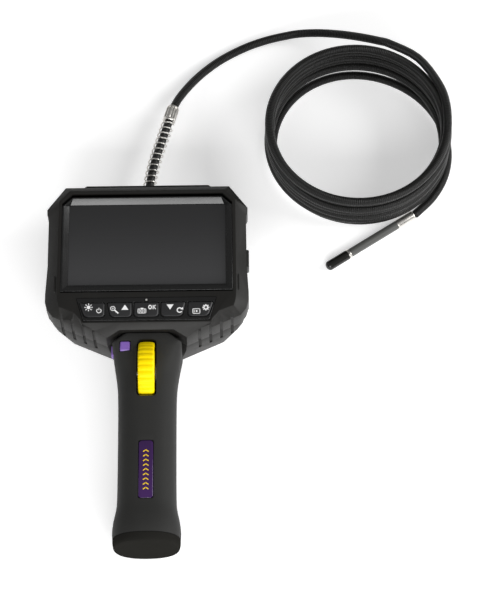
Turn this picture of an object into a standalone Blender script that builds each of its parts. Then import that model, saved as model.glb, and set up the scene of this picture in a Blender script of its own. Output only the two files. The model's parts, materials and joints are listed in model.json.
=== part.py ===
"""Hand-held inspection camera with a screen, a key row, a steering wheel and a coiled probe.

Metres, +Z up. The instrument lies on its back on z = 0, with the screen up (+Z) and the
screen head towards +Y. X = 0 is its plane of symmetry, and the origin is the bottom centre
of the instrument without its probe.
"""
import math

import bmesh
import bpy
from mathutils import Matrix, Vector

# ---- driving dimensions -------------------------------------------------------------
GAP = 0.0003                  # clearance between neighbouring pieces
MERGE = 1e-6                  # points nearer than this are one point
SHARP_ANGLE = math.radians(32)

# head
FACE_Z = 0.042                # top of the armoured face
WALL_Z = 0.036                # upper edge of the side walls
PARTING_Z = 0.024             # where the front and rear shells meet
HEAD_MIDDLE_Y = 0.064
NOTCH_Y = 0.0163              # edge of the notch that the grip stands in
SHELL_WALL = 0.0022
CAVITY_SCALE = 0.953          # the hollow of the head against its outside
BACK_TAPERS = (0.985, 0.965, 0.840, 0.810)    # the rear shell's outline, from its joint to its back
TREAD_X = 0.0511              # the outermost groove of the lower corners
TREAD_PITCH = 0.0065
TREAD_WIDTH = 0.0017
TREAD_DEPTH = 0.0013
TREAD_COUNT = 4
SCREW_PLACES = [(-0.036, 0.090), (0.036, 0.090), (-0.036, 0.037), (0.036, 0.037)]

# screen
SCREEN_HALF_WIDTH = 0.0475    # a 4.3 inch display's active area
SCREEN_Y = (0.0464, 0.1002)
SCREEN_Z = 0.0389             # top of the window
BEZEL_HALF_WIDTH = 0.0515
BEZEL_Y = (0.0412, 0.1043)

# key row
KEY_Y = (0.0234, 0.0327)
KEY_Z = (0.0396, 0.0429)
KEY_CLEARANCE = 0.00035
KEY_CORNER = 0.0014
PANEL_Z = (0.0409, 0.0424)
LIGHT_Y = 0.0345
KEYS = {
    # name: left and right at the top edge, left and right at the bottom edge
    "key_light_power": (-0.0401, -0.0250, -0.0369, -0.0250),
    "key_zoom_up": (-0.0234, -0.0088, -0.0213, -0.0088),
    "key_photo_ok": (-0.0073, 0.0073, -0.0073, 0.0073),
    "key_turn_down": (0.0088, 0.0234, 0.0088, 0.0213),
    "key_play_menu": (0.0250, 0.0401, 0.0250, 0.0369),
}

# port window in the right wall
PORT_Y = (0.0587, 0.0716)
PORT_Z = (0.0254, 0.0349)
COVER_X = (0.0590, 0.0619)

# grip
GRIP_PARTING_Z = 0.018
CAP_TOP_Y = -0.1087           # where the grip ends and its base cap starts
END_Y = -0.1143
BADGE_Y = (-0.0885, -0.0524)
BADGE_HALF_WIDTH = 0.0046
NECK_OPENING = ((-0.0103, 0.0100, 0.0047), (0.0103, 0.0250, 0.0138))
GRIP_SCREW_PLACES = [(-0.0085, 0.0069), (0.0085, 0.0069), (0.0, -0.0315)]

# steering wheel
WHEEL_Y, WHEEL_Z = -0.0064, 0.0257
WHEEL_RADIUS = 0.0190
WHEEL_HALF_WIDTH = 0.0048
WHEEL_RIBS = 26
AXLE_RADIUS = 0.0020

# purple push buttons
FRONT_BUTTON = (-0.01285, 0.0076)    # x and y
SIDE_BUTTON = (0.0083, 0.0238)       # y and z
BUTTON_HALF = 0.0031

# probe: strain relief, cable and coil
GLAND_Z = 0.0155
SPRING_PATH = [(0.0, 0.1193, GLAND_Z), (0.0006, 0.1380, 0.0158), (0.0070, 0.1550, 0.0142),
               (0.0118, 0.1724, 0.0130)]
SPRING_RADIUS = 0.00288
SPRING_WIRE = 0.00042
SPRING_TURNS = 15
FERRULE = [(0.0119, 0.1729, 0.0130), (0.0149, 0.1842, 0.0113)]
FERRULE_RADIUS = 0.0034
FLUTES = 14
CABLE_RADIUS = 0.00265
COIL_CENTRE = (0.1317, 0.1576)
COIL_HEIGHT = 0.0414
COIL_RADII = (0.0503, 0.0610)
COIL_FOOT_RADIUS = 0.0558     # the lowest turn is tighter than those above it
COIL_FOOT_HEIGHT = 0.0064
LEAD_ROUTE = [
    (0.0152, 0.1850, 0.0111), (0.0183, 0.1920, 0.0096), (0.0230, 0.1998, 0.0079),
    (0.0288, 0.2078, 0.0062), (0.0354, 0.2152, 0.0048), (0.0438, 0.2228, 0.0037),
    (0.0538, 0.2296, 0.0030), (0.0648, 0.2352, 0.0030), (0.0760, 0.2389, 0.0037),
    (0.0868, 0.2408, 0.0052), (0.0972, 0.2412, 0.0076), (0.1090, 0.2391, 0.0116),
    (0.1206, 0.2355, 0.0160), (0.1306, 0.2311, 0.0206), (0.1396, 0.2263, 0.0252),
    (0.1478, 0.2216, 0.0292), (0.1520, 0.2190, 0.0311),
]
TAIL_ARC = (math.radians(-37), math.radians(-54.0))   # angles about the coil's centre
TAIL_RADIUS = 0.0593

# probe tip: lengths run along its own axis from the front of the collar
TIP_ORIGIN = (0.1554, 0.1025, 0.0032)
TIP_HEADING = math.radians(212.9)
TIP_RADIUS = 0.00265
COLLAR_LENGTH = 0.0125
LINK_PITCH = 0.006
LINK_COUNT = 5
FIRST_PIVOT = 0.003
RING_PLACE = (0.0359, 0.0376)
BARREL_END = 0.0505
CAP_END = 0.0537

# Half of the head's outlines, X >= 0, from the top down to the grip. Each wall point has
# its own height, because the bevel of the face starts lower at the sides than at the top.
HEAD_WALL = [
    (0.0502, 0.1123, 0.0393), (0.0614, 0.0985, 0.0370), (0.0614, 0.0955, WALL_Z),
    (0.0604, 0.0935, WALL_Z), (0.0604, 0.0600, WALL_Z), (0.0614, 0.0420, WALL_Z),
    (0.0614, 0.0365, WALL_Z), (0.0597, 0.0310, WALL_Z), (0.0565, 0.0268, WALL_Z),
    (0.0519, 0.0246, WALL_Z), (0.0383, 0.0185, WALL_Z), (0.0240, 0.0121, 0.0368),
    (0.0162, NOTCH_Y, 0.0392),
]
HEAD_FACE = [
    (0.0475, 0.1087), (0.0539, 0.1015), (0.0539, 0.0985), (0.0539, 0.0955),
    (0.0539, 0.0600), (0.0539, 0.0420), (0.0537, 0.0360), (0.0530, 0.0325),
    (0.0522, 0.0306), (0.0435, 0.0270), (0.0395, 0.0222), (0.0384, 0.0199),
    (0.0162, 0.0199),
]

# Sections of the grip: y, half width, height of its front, exponent of its roundness.
GRIP_SECTIONS = [
    (0.0156, 0.0155, 0.0360, 3.2), (0.0110, 0.0213, 0.0360, 3.0), (0.0060, 0.0212, 0.0360, 2.8),
    (-0.0040, 0.0192, 0.0360, 2.6), (-0.0150, 0.0178, 0.0360, 2.6), (-0.0300, 0.0174, 0.0358, 2.6),
    (-0.0550, 0.0173, 0.0355, 2.6), (-0.0830, 0.0174, 0.0352, 2.6), (-0.0910, 0.0180, 0.0354, 2.5),
    (-0.0985, 0.0195, 0.0363, 2.4), (-0.1045, 0.0201, 0.0368, 2.3), (CAP_TOP_Y, 0.0199, 0.0366, 2.3),
]

MATERIALS = {
    # name: colour, roughness, metallic
    "armour": ((0.030, 0.029, 0.029), 0.55, 0.0),
    "gloss_black": ((0.012, 0.012, 0.012), 0.25, 0.0),
    "soft_grip": ((0.040, 0.040, 0.039), 0.70, 0.0),
    "key_rubber": ((0.026, 0.026, 0.028), 0.50, 0.0),
    "seal_rubber": ((0.020, 0.020, 0.020), 0.80, 0.0),
    "display": ((0.035, 0.035, 0.036), 0.10, 0.0),
    "circuit_board": ((0.010, 0.110, 0.045), 0.50, 0.0),
    "steel": ((0.620, 0.610, 0.590), 0.30, 1.0),
    "sheet_metal": ((0.520, 0.520, 0.510), 0.45, 1.0),
    "yellow": ((0.980, 0.740, 0.000), 0.55, 0.0),
    "purple": ((0.230, 0.120, 0.480), 0.35, 0.0),
    "badge": ((0.048, 0.018, 0.085), 0.20, 0.0),
    "acetal": ((0.700, 0.700, 0.680), 0.45, 0.0),
    "battery_sleeve": ((0.030, 0.110, 0.300), 0.40, 0.0),
    "cable_sheath": ((0.024, 0.024, 0.024), 0.45, 0.0),
    "light_pipe": ((0.500, 0.500, 0.480), 0.30, 0.0),
}

collections = {}


# ---- scene and modelling helpers ----------------------------------------------------
def clear_scene():
    for obj in list(bpy.data.objects):
        bpy.data.objects.remove(obj, do_unlink=True)
    for name in ("inspection_camera", "cutters"):
        collections[name] = bpy.data.collections.new(name)
        bpy.context.scene.collection.children.link(collections[name])


def get_material(name):
    material = bpy.data.materials.get(name)
    if material:
        return material
    colour, roughness, metallic = MATERIALS[name]
    material = bpy.data.materials.new(name)
    material.use_nodes = True
    shader = material.node_tree.nodes["Principled BSDF"]
    shader.inputs["Base Color"].default_value = (*colour, 1.0)
    shader.inputs["Roughness"].default_value = roughness
    shader.inputs["Metallic"].default_value = metallic
    return material


def add_object(name, data, material=None, location=(0, 0, 0), parent=None):
    """Put data in the scene: a piece of the camera, or a cutter if it has no material.

    A piece is shaded smooth where it is round. A cutter stays flat, and so do the faces it cuts.
    """
    obj = bpy.data.objects.new(name, data)
    obj.parent = parent
    obj.location = location
    if material:
        if not data.materials:
            data.materials.append(get_material(material))
        if isinstance(data, bpy.types.Mesh):
            data.shade_smooth()
            data.set_sharp_from_angle(angle=SHARP_ANGLE)
        collections["inspection_camera"].objects.link(obj)
    else:
        obj.hide_render = True
        obj.display_type = "WIRE"
        collections["cutters"].objects.link(obj)
    return obj


def add_empty(name, matrix):
    empty = bpy.data.objects.new(name, None)
    empty.matrix_world = matrix
    collections["inspection_camera"].objects.link(empty)
    return empty


def add_bmesh(name, bm, *placing, **placed):
    bmesh.ops.recalc_face_normals(bm, faces=bm.faces)
    mesh = bpy.data.meshes.new(name)
    bm.to_mesh(mesh)
    bm.free()
    return add_object(name, mesh, *placing, **placed)


def add_box(name, low, high, *placing, **placed):
    """A box between two corners, counted from the object's location."""
    size = Vector(high) - Vector(low)
    centre = (Vector(high) + Vector(low)) / 2
    bm = bmesh.new()
    bmesh.ops.create_cube(bm, matrix=Matrix.Translation(centre) @ Matrix.Diagonal((*size, 1.0)))
    return add_bmesh(name, bm, *placing, **placed)


def add_cylinder(name, radius, start, end, *placing, segments=24, end_radius=None, places=((0, 0),),
                 **placed):
    """A cylinder or cone between two points, once for each place, counted from the location."""
    bm = bmesh.new()
    for x, y in places:
        low, high = Vector(start) + Vector((x, y, 0)), Vector(end) + Vector((x, y, 0))
        turn = (high - low).to_track_quat("Z", "Y").to_matrix().to_4x4()
        bmesh.ops.create_cone(
            bm, cap_ends=True, segments=segments, radius1=radius, radius2=end_radius or radius,
            depth=(high - low).length, matrix=Matrix.Translation((low + high) / 2) @ turn)
    return add_bmesh(name, bm, *placing, **placed)


def as_mesh(obj):
    """Replace a curve, or an object with modifiers, by the same shape as a plain closed mesh."""
    bpy.context.view_layer.update()
    evaluated = obj.evaluated_get(bpy.context.evaluated_depsgraph_get())
    bm = bmesh.new()
    bm.from_mesh(bpy.data.meshes.new_from_object(evaluated))
    bmesh.ops.remove_doubles(bm, verts=bm.verts, dist=MERGE)
    name, parent, matrix = obj.name, obj.parent, obj.matrix_world.copy()
    material = obj.data.materials[0].name if obj.data.materials else None
    bpy.data.objects.remove(obj, do_unlink=True)
    solid = add_bmesh(name, bm, material, parent=parent)
    solid.matrix_world = matrix
    return solid


def add_plate(name, outline, low, high, material=None, frame=None, parent=None):
    """An outline in the frame's X and Y, made a plate from low to high along its Z."""
    curve = bpy.data.curves.new(name, "CURVE")
    curve.dimensions = "2D"
    curve.fill_mode = "BOTH"
    curve.extrude = (high - low) / 2
    spline = curve.splines.new("POLY")
    spline.points.add(len(outline) - 1)
    for point, (x, y) in zip(spline.points, outline):
        point.co = (x, y, 0.0, 1.0)
    spline.use_cyclic_u = True
    obj = add_object(name, curve, material, parent=parent)
    obj.matrix_world = (frame or Matrix()) @ Matrix.Translation((0, 0, (low + high) / 2))
    return as_mesh(obj)


def add_turned(name, profile, *placing, segments=24, **placed):
    """A profile of radius and height, top to bottom on its outer side, turned about Z."""
    edges = [(i, i + 1) for i in range(len(profile) - 1)]
    if profile[0][0] > 0:
        edges.append((len(profile) - 1, 0))
    mesh = bpy.data.meshes.new(name)
    mesh.from_pydata([(radius, 0.0, height) for radius, height in profile], edges, [])
    obj = add_object(name, mesh, *placing, **placed)
    screw = obj.modifiers.new("turn", "SCREW")
    screw.steps = screw.render_steps = segments
    screw.use_merge_vertices = True
    screw.merge_threshold = MERGE
    return as_mesh(obj)


def add_loft(name, sections, *placing, **placed):
    """A closed skin over sections that have the same number of points."""
    bm = bmesh.new()
    loops = []
    for section in sections:
        verts = [bm.verts.new(point) for point in section]
        loops.append([bm.edges.new(pair) for pair in zip(verts, verts[1:] + verts[:1])])
    for lower, upper in zip(loops, loops[1:]):
        bmesh.ops.bridge_loops(bm, edges=lower + upper)
    for end in (loops[0], loops[-1]):
        bmesh.ops.edgeloop_fill(bm, edges=end)
    return add_bmesh(name, bm, *placing, **placed)


def add_tube(name, points, radius, material, resolution=2):
    """A round wire or hose through the points."""
    curve = bpy.data.curves.new(name, "CURVE")
    curve.dimensions = "3D"
    curve.bevel_depth = radius
    curve.bevel_resolution = resolution
    curve.use_fill_caps = True
    spline = curve.splines.new("POLY")
    spline.points.add(len(points) - 1)
    for point, place in zip(spline.points, points):
        point.co = (*place, 1.0)
    return as_mesh(add_object(name, curve, material))


def add_boolean(obj, others, operation):
    for other in others:
        modifier = obj.modifiers.new(other.name, "BOOLEAN")
        modifier.operation = operation
        modifier.object = other
    return obj


def cut(obj, *cutters):
    return add_boolean(obj, cutters, "DIFFERENCE")


def fuse(obj, *extras):
    return add_boolean(obj, extras, "UNION")


def round_edges(obj, width, segments=1):
    bevel = obj.modifiers.new("round", "BEVEL")
    bevel.width = width
    bevel.segments = segments
    bevel.limit_method = "ANGLE"
    return obj


def axis_frame(origin, direction, side=(0, 0, 1)):
    """A frame with Z along the direction and X as near to side as it can be."""
    z = Vector(direction).normalized()
    y = z.cross(Vector(side)).normalized()
    x = y.cross(z)
    frame = Matrix((x, y, z)).transposed().to_4x4()
    frame.translation = origin
    return frame


# ---- outlines -----------------------------------------------------------------------
def mirrored(half):
    """Close a half outline with its mirror image across X = 0."""
    return list(half) + [(-point[0], *point[1:]) for point in reversed(half)]


def head_wall(scale=1.0, height=None, drop=0.0):
    """The head's wall outline, scaled about the middle of the head."""
    return mirrored([(x * scale, HEAD_MIDDLE_Y + (y - HEAD_MIDDLE_Y) * scale,
                      z - drop if height is None else height) for x, y, z in HEAD_WALL])


def head_face(scale, height):
    return mirrored([(x * scale, HEAD_MIDDLE_Y + (y - HEAD_MIDDLE_Y) * scale, height)
                     for x, y in HEAD_FACE])


def head_back(taper, height, inset=0.0):
    """An outline of the rear shell: it narrows towards the notch, and inset draws it in."""
    shrink = 1.0 - inset / 0.050
    middle = NOTCH_Y + (HEAD_MIDDLE_Y - NOTCH_Y) * taper
    return [(x * taper * shrink, middle + (y - HEAD_MIDDLE_Y) * taper * shrink, height)
            for x, y, z in mirrored(HEAD_WALL)]


def trapezoid(top, bottom, y, margin=0.0):
    """Left and right at the top edge and at the bottom edge, and the two heights in Y."""
    return [(top[0] - margin, y[1] + margin), (top[1] + margin, y[1] + margin),
            (bottom[1] + margin, y[0] - margin), (bottom[0] - margin, y[0] - margin)]


def key_outline(top, bottom, y, margin=0.0):
    """A trapezoid whose two lower corners are cut."""
    upper_left, upper_right, right, left = (Vector(p) for p in trapezoid(top, bottom, y, margin))
    up_right = (upper_right - right).normalized() * KEY_CORNER
    up_left = (upper_left - left).normalized() * KEY_CORNER
    inward = Vector((KEY_CORNER, 0.0))
    return [upper_left, upper_right, right + up_right, right - inward, left + inward, left + up_left]


def cut_corners(half_x, y, corner):
    """A rectangle across X = 0, between two heights in Y, with its corners cut."""
    return mirrored([(half_x - corner, y[1]), (half_x, y[1] - corner),
                     (half_x, y[0] + corner), (half_x - corner, y[0])])


def grip_section(y, half_width, front, exponent, wall=0.0, points=24):
    """A superellipse that stands on z = 0 and reaches up to the front of the grip."""
    section = []
    for i in range(points):
        angle = 2 * math.pi * (i + 0.5) / points
        across, up = math.cos(angle), math.sin(angle)
        x = math.copysign(abs(across) ** (2 / exponent), across) * (half_width - wall)
        z = math.copysign(abs(up) ** (2 / exponent), up) * (front / 2 - wall)
        section.append((x, y, front / 2 + z))
    return section


def fluted_circle(radius, depth, flutes, height, turn=0.0):
    """A circle with a flat land and a flat groove for every flute."""
    section = []
    for i in range(4 * flutes):
        angle = 2 * math.pi * (i + 0.5) / (4 * flutes) + turn
        r = radius if i % 4 < 2 else radius - depth
        section.append((r * math.cos(angle), r * math.sin(angle), height))
    return section


def bezier(points, t):
    a, b, c, d = (Vector(point) for point in points)
    s = 1.0 - t
    return a * s ** 3 + b * 3 * s * s * t + c * 3 * s * t * t + d * t ** 3


def coil_circle(radius, start, end, height, count):
    """Points on an arc about the coil's centre."""
    return [(COIL_CENTRE[0] + radius * math.cos(start + (end - start) * i / count),
             COIL_CENTRE[1] + radius * math.sin(start + (end - start) * i / count), height)
            for i in range(count + 1)]


# ---- head ---------------------------------------------------------------------------
def make_front_shell():
    """Armoured front: a bevelled face, a crown at the top and treads at the lower corners."""
    shell = add_loft("head_front_shell", [
        head_wall(height=PARTING_Z), head_wall(), head_face(1.0, FACE_Z)], "armour")
    cavity = add_loft("front_cavity", [
        head_wall(CAVITY_SCALE, height=PARTING_Z - 0.001), head_wall(CAVITY_SCALE, drop=0.0016),
        head_face(CAVITY_SCALE, FACE_Z - SHELL_WALL)])
    crown = add_plate("crown", mirrored([(0.0375, 0.1143), (0.0405, 0.1120), (0.0405, 0.1108)]),
                      PARTING_Z + 0.002, WALL_Z + 0.0015)
    screen_opening = add_plate(
        "screen_opening", mirrored([(0.0460, 0.1067), (0.0520, 0.1005), (0.0520, 0.0400)]), 0.037, 0.050)
    panel_seat = add_plate("panel_seat", trapezoid((-0.0423, 0.0423), (-0.0379, 0.0379), (0.0209, 0.0362)),
                           PANEL_Z[0] - GAP, 0.050)
    key_opening = add_plate("key_opening", trapezoid((-0.0408, 0.0408), (-0.0374, 0.0374),
                                                     (0.0228, 0.0334)), 0.038, 0.050)
    light_hole = add_cylinder("light_hole", 0.0009, (0, LIGHT_Y, 0.038), (0, LIGHT_Y, 0.050), segments=12)
    port = add_box("port_window", (0.050, PORT_Y[0], PORT_Z[0]), (0.070, PORT_Y[1], PORT_Z[1]))
    fuse(shell, crown)
    cut(shell, cavity, screen_opening, panel_seat, key_opening, light_hole, port)
    cut(shell, make_treads(PARTING_Z - 0.0015, WALL_Z + 0.0035, TREAD_DEPTH, over_bevel=True))


def lower_edge(half_outline, x):
    """The Y of a half outline's lower edge at X."""
    lower = [point for point in half_outline if point[1] < 0.032]
    for (x1, y1, *_), (x2, y2, *_) in zip(lower, lower[1:]):
        if x2 <= x <= x1:
            return y1 + (y2 - y1) * (x1 - x) / (x1 - x2)
    return lower[-1][1]


def make_treads(low, high, depth, over_bevel=False):
    """A cutter for four grooves up the wall at each slanted lower corner, from low to high."""
    on_wall, on_bevel = bmesh.new(), bmesh.new()
    for side in (-1, 1):
        for i in range(TREAD_COUNT):
            x = TREAD_X - TREAD_PITCH * i
            wall_y, face_y = lower_edge(HEAD_WALL, x), lower_edge(HEAD_FACE, x)
            bmesh.ops.create_cube(on_wall, matrix=(
                Matrix.Translation((side * x, wall_y + depth - 0.002, (low + high) / 2))
                @ Matrix.Diagonal((TREAD_WIDTH, 0.004, high - low, 1.0))))
            run, rise = (face_y - wall_y) / 2, (FACE_Z - WALL_Z) / 2
            bmesh.ops.create_cube(on_bevel, matrix=(
                Matrix.Translation((side * x, wall_y + run / 2, WALL_Z + rise / 2))
                @ Matrix.Rotation(math.atan2(rise, run), 4, "X")
                @ Matrix.Diagonal((TREAD_WIDTH * 0.97, math.hypot(rise, run), 2 * depth, 1.0))))
    wall_treads, bevel_treads = add_bmesh("wall_treads", on_wall), add_bmesh("bevel_treads", on_bevel)
    return fuse(wall_treads, bevel_treads) if over_bevel else wall_treads


def make_rear_shell():
    """Tapered back with four screw posts, the cable's boss and the opening for the neck."""
    top = PARTING_Z - GAP
    shell = add_loft("head_rear_shell", [
        head_back(taper, height) for taper, height in zip(BACK_TAPERS, (top, 0.016, 0.003, 0.0))], "armour")
    wall = 0.0024
    cavity = add_loft("rear_cavity", [
        head_back(BACK_TAPERS[0], top + 0.001, wall), head_back(BACK_TAPERS[1], 0.0158, wall),
        head_back(0.850, 0.0040, wall), head_back(0.830, SHELL_WALL, wall)])
    boss = add_cylinder("gland_boss", 0.0062, (0, 0.0985, GLAND_Z), (0, 0.1128, GLAND_Z))
    bore = add_cylinder("gland_bore", 0.0031, (0, 0.0940, GLAND_Z), (0, 0.1200, GLAND_Z))
    neck_opening = add_box("neck_opening", *NECK_OPENING)
    cut(shell, cavity)
    fuse(shell, boss)
    cut(shell, bore, neck_opening)
    cut(shell, make_treads(0.0120, PARTING_Z + 0.0010, TREAD_DEPTH + 0.0005))
    add_screw_posts(shell, SCREW_PLACES, 0.0210)


def add_screw_posts(shell, places, height):
    """Posts on the floor of a shell, bored and counterbored for screws from below."""
    def posts(name, radius, low, high):
        return add_cylinder(name, radius, (0, 0, low), (0, 0, high), segments=12, places=places)

    below = -0.001
    fuse(shell, posts("screw_posts", 0.0032, 0.0014, height))
    cut(shell, posts("screw_bores", 0.0016, below, height + 0.001),
        posts("screw_counterbores", 0.0027, below, 0.0027))


def add_screw(name, x, y, length):
    """A pan-head screw with a slot, its head in the counterbore of a shell's back."""
    head, shank = 0.0024, 0.0013
    screw = add_turned(name, [(0.0, length), (shank, length - 0.0010), (shank, 0.0024), (head, 0.0024),
                              (head, 0.0009), (0.0, 0.0009)], "sheet_metal", (x, y, 0), segments=12)
    cut(screw, add_box("screw_slot", (-0.003, -0.0004, 0.0), (0.003, 0.0004, 0.0015), location=(x, y, 0)))


def make_gasket():
    """The seal inside the joint of the two shells."""
    low, high = PARTING_Z - 0.0018, PARTING_Z + 0.0018
    inset, width = 0.0034, 0.0012
    ring = add_loft("shell_gasket", [
        head_back(BACK_TAPERS[0], low, inset), head_back(BACK_TAPERS[0], high, inset)], "seal_rubber")
    cut(ring, add_loft("gasket_hole", [
        head_back(BACK_TAPERS[0], low - 0.001, inset + width),
        head_back(BACK_TAPERS[0], high + 0.001, inset + width)]))


def make_screen():
    bezel = add_plate("screen_bezel", mirrored([
        (0.0455, BEZEL_Y[1]), (BEZEL_HALF_WIDTH, BEZEL_Y[1] - 0.0060), (BEZEL_HALF_WIDTH, BEZEL_Y[0])]),
        SCREEN_Z, FACE_Z, "gloss_black")
    lip = 0.0006
    slope = add_loft("bezel_slope", [
        [(*point, SCREEN_Z - 0.0001) for point in mirrored([
            (SCREEN_HALF_WIDTH - 0.0003, SCREEN_Y[1]), (SCREEN_HALF_WIDTH, SCREEN_Y[1] - 0.0003),
            (SCREEN_HALF_WIDTH, SCREEN_Y[0])])],
        [(*point, FACE_Z + 0.0001) for point in mirrored([
            (0.0452, BEZEL_Y[1] - lip), (BEZEL_HALF_WIDTH - lip, BEZEL_Y[1] - 0.0062),
            (BEZEL_HALF_WIDTH - lip, BEZEL_Y[0] + lip)])]])
    cut(bezel, slope)
    add_box("screen_window", (-0.0493, 0.0440, 0.0379), (0.0493, 0.1023, SCREEN_Z - GAP), "display")
    add_box("lcd_panel", (-0.0505, 0.0417, 0.0343), (0.0505, 0.1030, 0.0376), "display")
    bracket = add_box("lcd_bracket", (-0.0520, 0.0390, 0.0328), (0.0520, 0.1030, 0.0340), "sheet_metal")
    for x in (-0.030, 0.0, 0.030):
        cut(bracket, add_box("bracket_window", (x - 0.012, 0.050, 0.030), (x + 0.012, 0.092, 0.036)))


def make_boards():
    board = add_box("main_board", (-0.0480, 0.0420, 0.0270), (0.0480, 0.0980, 0.0286), "circuit_board")
    for x, y, half in ((-0.020, 0.075, 0.0070), (0.018, 0.078, 0.0055), (0.022, 0.055, 0.0045)):
        fuse(board, add_box("chip", (x - half, y - half, 0.0280), (x + half, y + half, 0.0298)))
    add_plate("key_board", trapezoid((-0.0395, 0.0395), (-0.0345, 0.0345), (0.0245, 0.0332)),
              0.0364, 0.0374, "circuit_board")
    usb = add_box("usb_socket", (0.0494, 0.0606, 0.0293), (0.0580, 0.0696, 0.0325), "steel")
    cut(usb, add_box("usb_mouth", (0.0515, 0.0609, 0.0296), (0.0590, 0.0693, 0.0322)))
    fuse(usb, add_box("usb_tongue", (0.0510, 0.0618, 0.0305), (0.0575, 0.0684, 0.0313)))
    card = add_box("card_socket", (0.0494, 0.0592, 0.0262), (0.0580, 0.0711, 0.0284), "steel")
    cut(card, add_box("card_slot", (0.0505, 0.0596, 0.0267), (0.0590, 0.0707, 0.0277)))


def make_keys():
    """Panel, rubber mat with a dome for each key, five sprung keys and the status light."""
    frame = add_plate("keypad_frame", trapezoid((-0.0420, 0.0420), (-0.0376, 0.0376), (0.0212, 0.0359)),
                      *PANEL_Z, "gloss_black")
    mat = add_plate("keypad_mat", trapezoid((-0.0403, 0.0403), (-0.0353, 0.0353), (0.0240, 0.0332)),
                    0.0377, 0.0383, "seal_rubber")
    for name, (top_left, top_right, bottom_left, bottom_right) in KEYS.items():
        shape = ((top_left, top_right), (bottom_left, bottom_right), KEY_Y)
        cut(frame, add_plate("key_hole", key_outline(*shape, margin=KEY_CLEARANCE), 0.040, 0.044))
        x = (top_left + top_right + bottom_left + bottom_right) / 4
        y = sum(KEY_Y) / 2
        dome = add_cylinder("key_dome", 0.0030, (x, y, 0.0380), (x, y, 0.0387), segments=12,
                            end_radius=0.0022)
        fuse(mat, dome)
        key = add_plate(name, [(px - x, py - y) for px, py in key_outline(*shape)],
                        KEY_Z[0], KEY_Z[1], "key_rubber", Matrix.Translation((x, y, 0)))
        round_edges(key, 0.0006)
    cut(frame, add_cylinder("light_hole_top", 0.0009, (0, LIGHT_Y, 0.040), (0, LIGHT_Y, 0.044), segments=12))
    add_cylinder("status_light", 0.0006, (0, LIGHT_Y, 0.0378), (0, LIGHT_Y, 0.0425), "light_pipe",
                 segments=12)


def make_port_cover():
    """Rubber flap on the right wall, its origin on the hinge at its lower outer edge."""
    hinge = Vector((0.0616, sum(PORT_Y) / 2, 0.0258))
    low = Vector((COVER_X[0], PORT_Y[0] + 0.00035, 0.0258)) - hinge
    high = Vector((COVER_X[1], PORT_Y[1] - 0.00035, 0.0343)) - hinge
    round_edges(add_box("port_cover", low, high, "seal_rubber", hinge), 0.0006)


# ---- grip ---------------------------------------------------------------------------
def make_grip():
    """Two half shells of one rounded handle, with the wheel's slot and the buttons' holes."""
    inner = [grip_section(y - 0.0025, *rest, wall=SHELL_WALL) for y, *rest in GRIP_SECTIONS[:-1]]
    inner.append(grip_section(CAP_TOP_Y - 0.001, *GRIP_SECTIONS[-1][1:], wall=SHELL_WALL))
    halves = {}
    for name, low, high in (("grip_front", -0.01, GRIP_PARTING_Z + GAP / 2),
                            ("grip_rear", GRIP_PARTING_Z - GAP / 2, 0.05)):
        half = add_loft(name, [grip_section(*section) for section in GRIP_SECTIONS], "soft_grip")
        cut(half, add_loft(f"{name}_cavity", inner),
            add_box(f"{name}_half", (-0.03, -0.13, low), (0.03, 0.03, high)))
        halves[name] = half
    x, y = FRONT_BUTTON
    hole = BUTTON_HALF + GAP
    side_y, side_z = SIDE_BUTTON
    slot = add_plate("wheel_slot", cut_corners(0.0059, (-0.0248, 0.0115), 0.0016), 0.0200, 0.0450)
    badge_seat = add_plate("badge_seat", cut_corners(BADGE_HALF_WIDTH, BADGE_Y, 0.0012), 0.0341, 0.0400)
    cut(halves["grip_front"], badge_seat, slot,
        add_box("front_button_hole", (x - hole, y - hole, 0.026), (x + hole, y + hole, 0.040)),
        add_box("side_button_hole", (-0.030, side_y - hole, side_z - hole),
                (-0.0168, side_y + hole, side_z + hole)))
    cut(halves["grip_rear"], add_box("grip_neck_opening", *NECK_OPENING))
    add_screw_posts(halves["grip_rear"], GRIP_SCREW_PLACES, 0.0150)
    badge = add_plate("name_plate", cut_corners(
        BADGE_HALF_WIDTH - GAP, (BADGE_Y[0] + GAP, BADGE_Y[1] - GAP), 0.0012), 0.0344, 0.0352, "badge")
    round_edges(badge, 0.0003)


def make_base_cap():
    """The glossy end of the grip, with a spigot that fits inside the two halves."""
    section = GRIP_SECTIONS[-1][1:]
    cap = add_loft("grip_base_cap", [
        grip_section(y, *section, wall=inset)
        for y, inset in ((CAP_TOP_Y - GAP, 0.0), (-0.1112, 0.0002), (-0.1134, 0.0010), (END_Y, 0.0026))],
        "gloss_black")
    spigot = add_loft("cap_spigot", [grip_section(y, *section, wall=0.0026) for y in (-0.1052, -0.1100)])
    pocket = add_cylinder("cap_pocket", 0.0090, (0, -0.1000, 0.0183), (0, -0.1085, 0.0183))
    fuse(cap, spigot)
    cut(cap, pocket)


def make_grip_inside():
    """Neck block, battery and its contact, and the board behind the two purple buttons."""
    neck = add_box("neck_block", (-0.0100, 0.0110, 0.0050), (0.0100, 0.0340, 0.0135), "sheet_metal")
    round_edges(neck, 0.0008)
    add_cylinder("battery_cell", 0.00915, (0, -0.0380, 0.018), (0, -0.1030, 0.018), "battery_sleeve")
    add_cylinder("battery_contact", 0.0045, (0, -0.1033, 0.018), (0, -0.1082, 0.018), "steel",
                 segments=16, end_radius=0.0070)
    add_box("button_board", (-0.0146, 0.0042, 0.0266), (-0.0092, 0.0104, 0.0278), "circuit_board")


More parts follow.
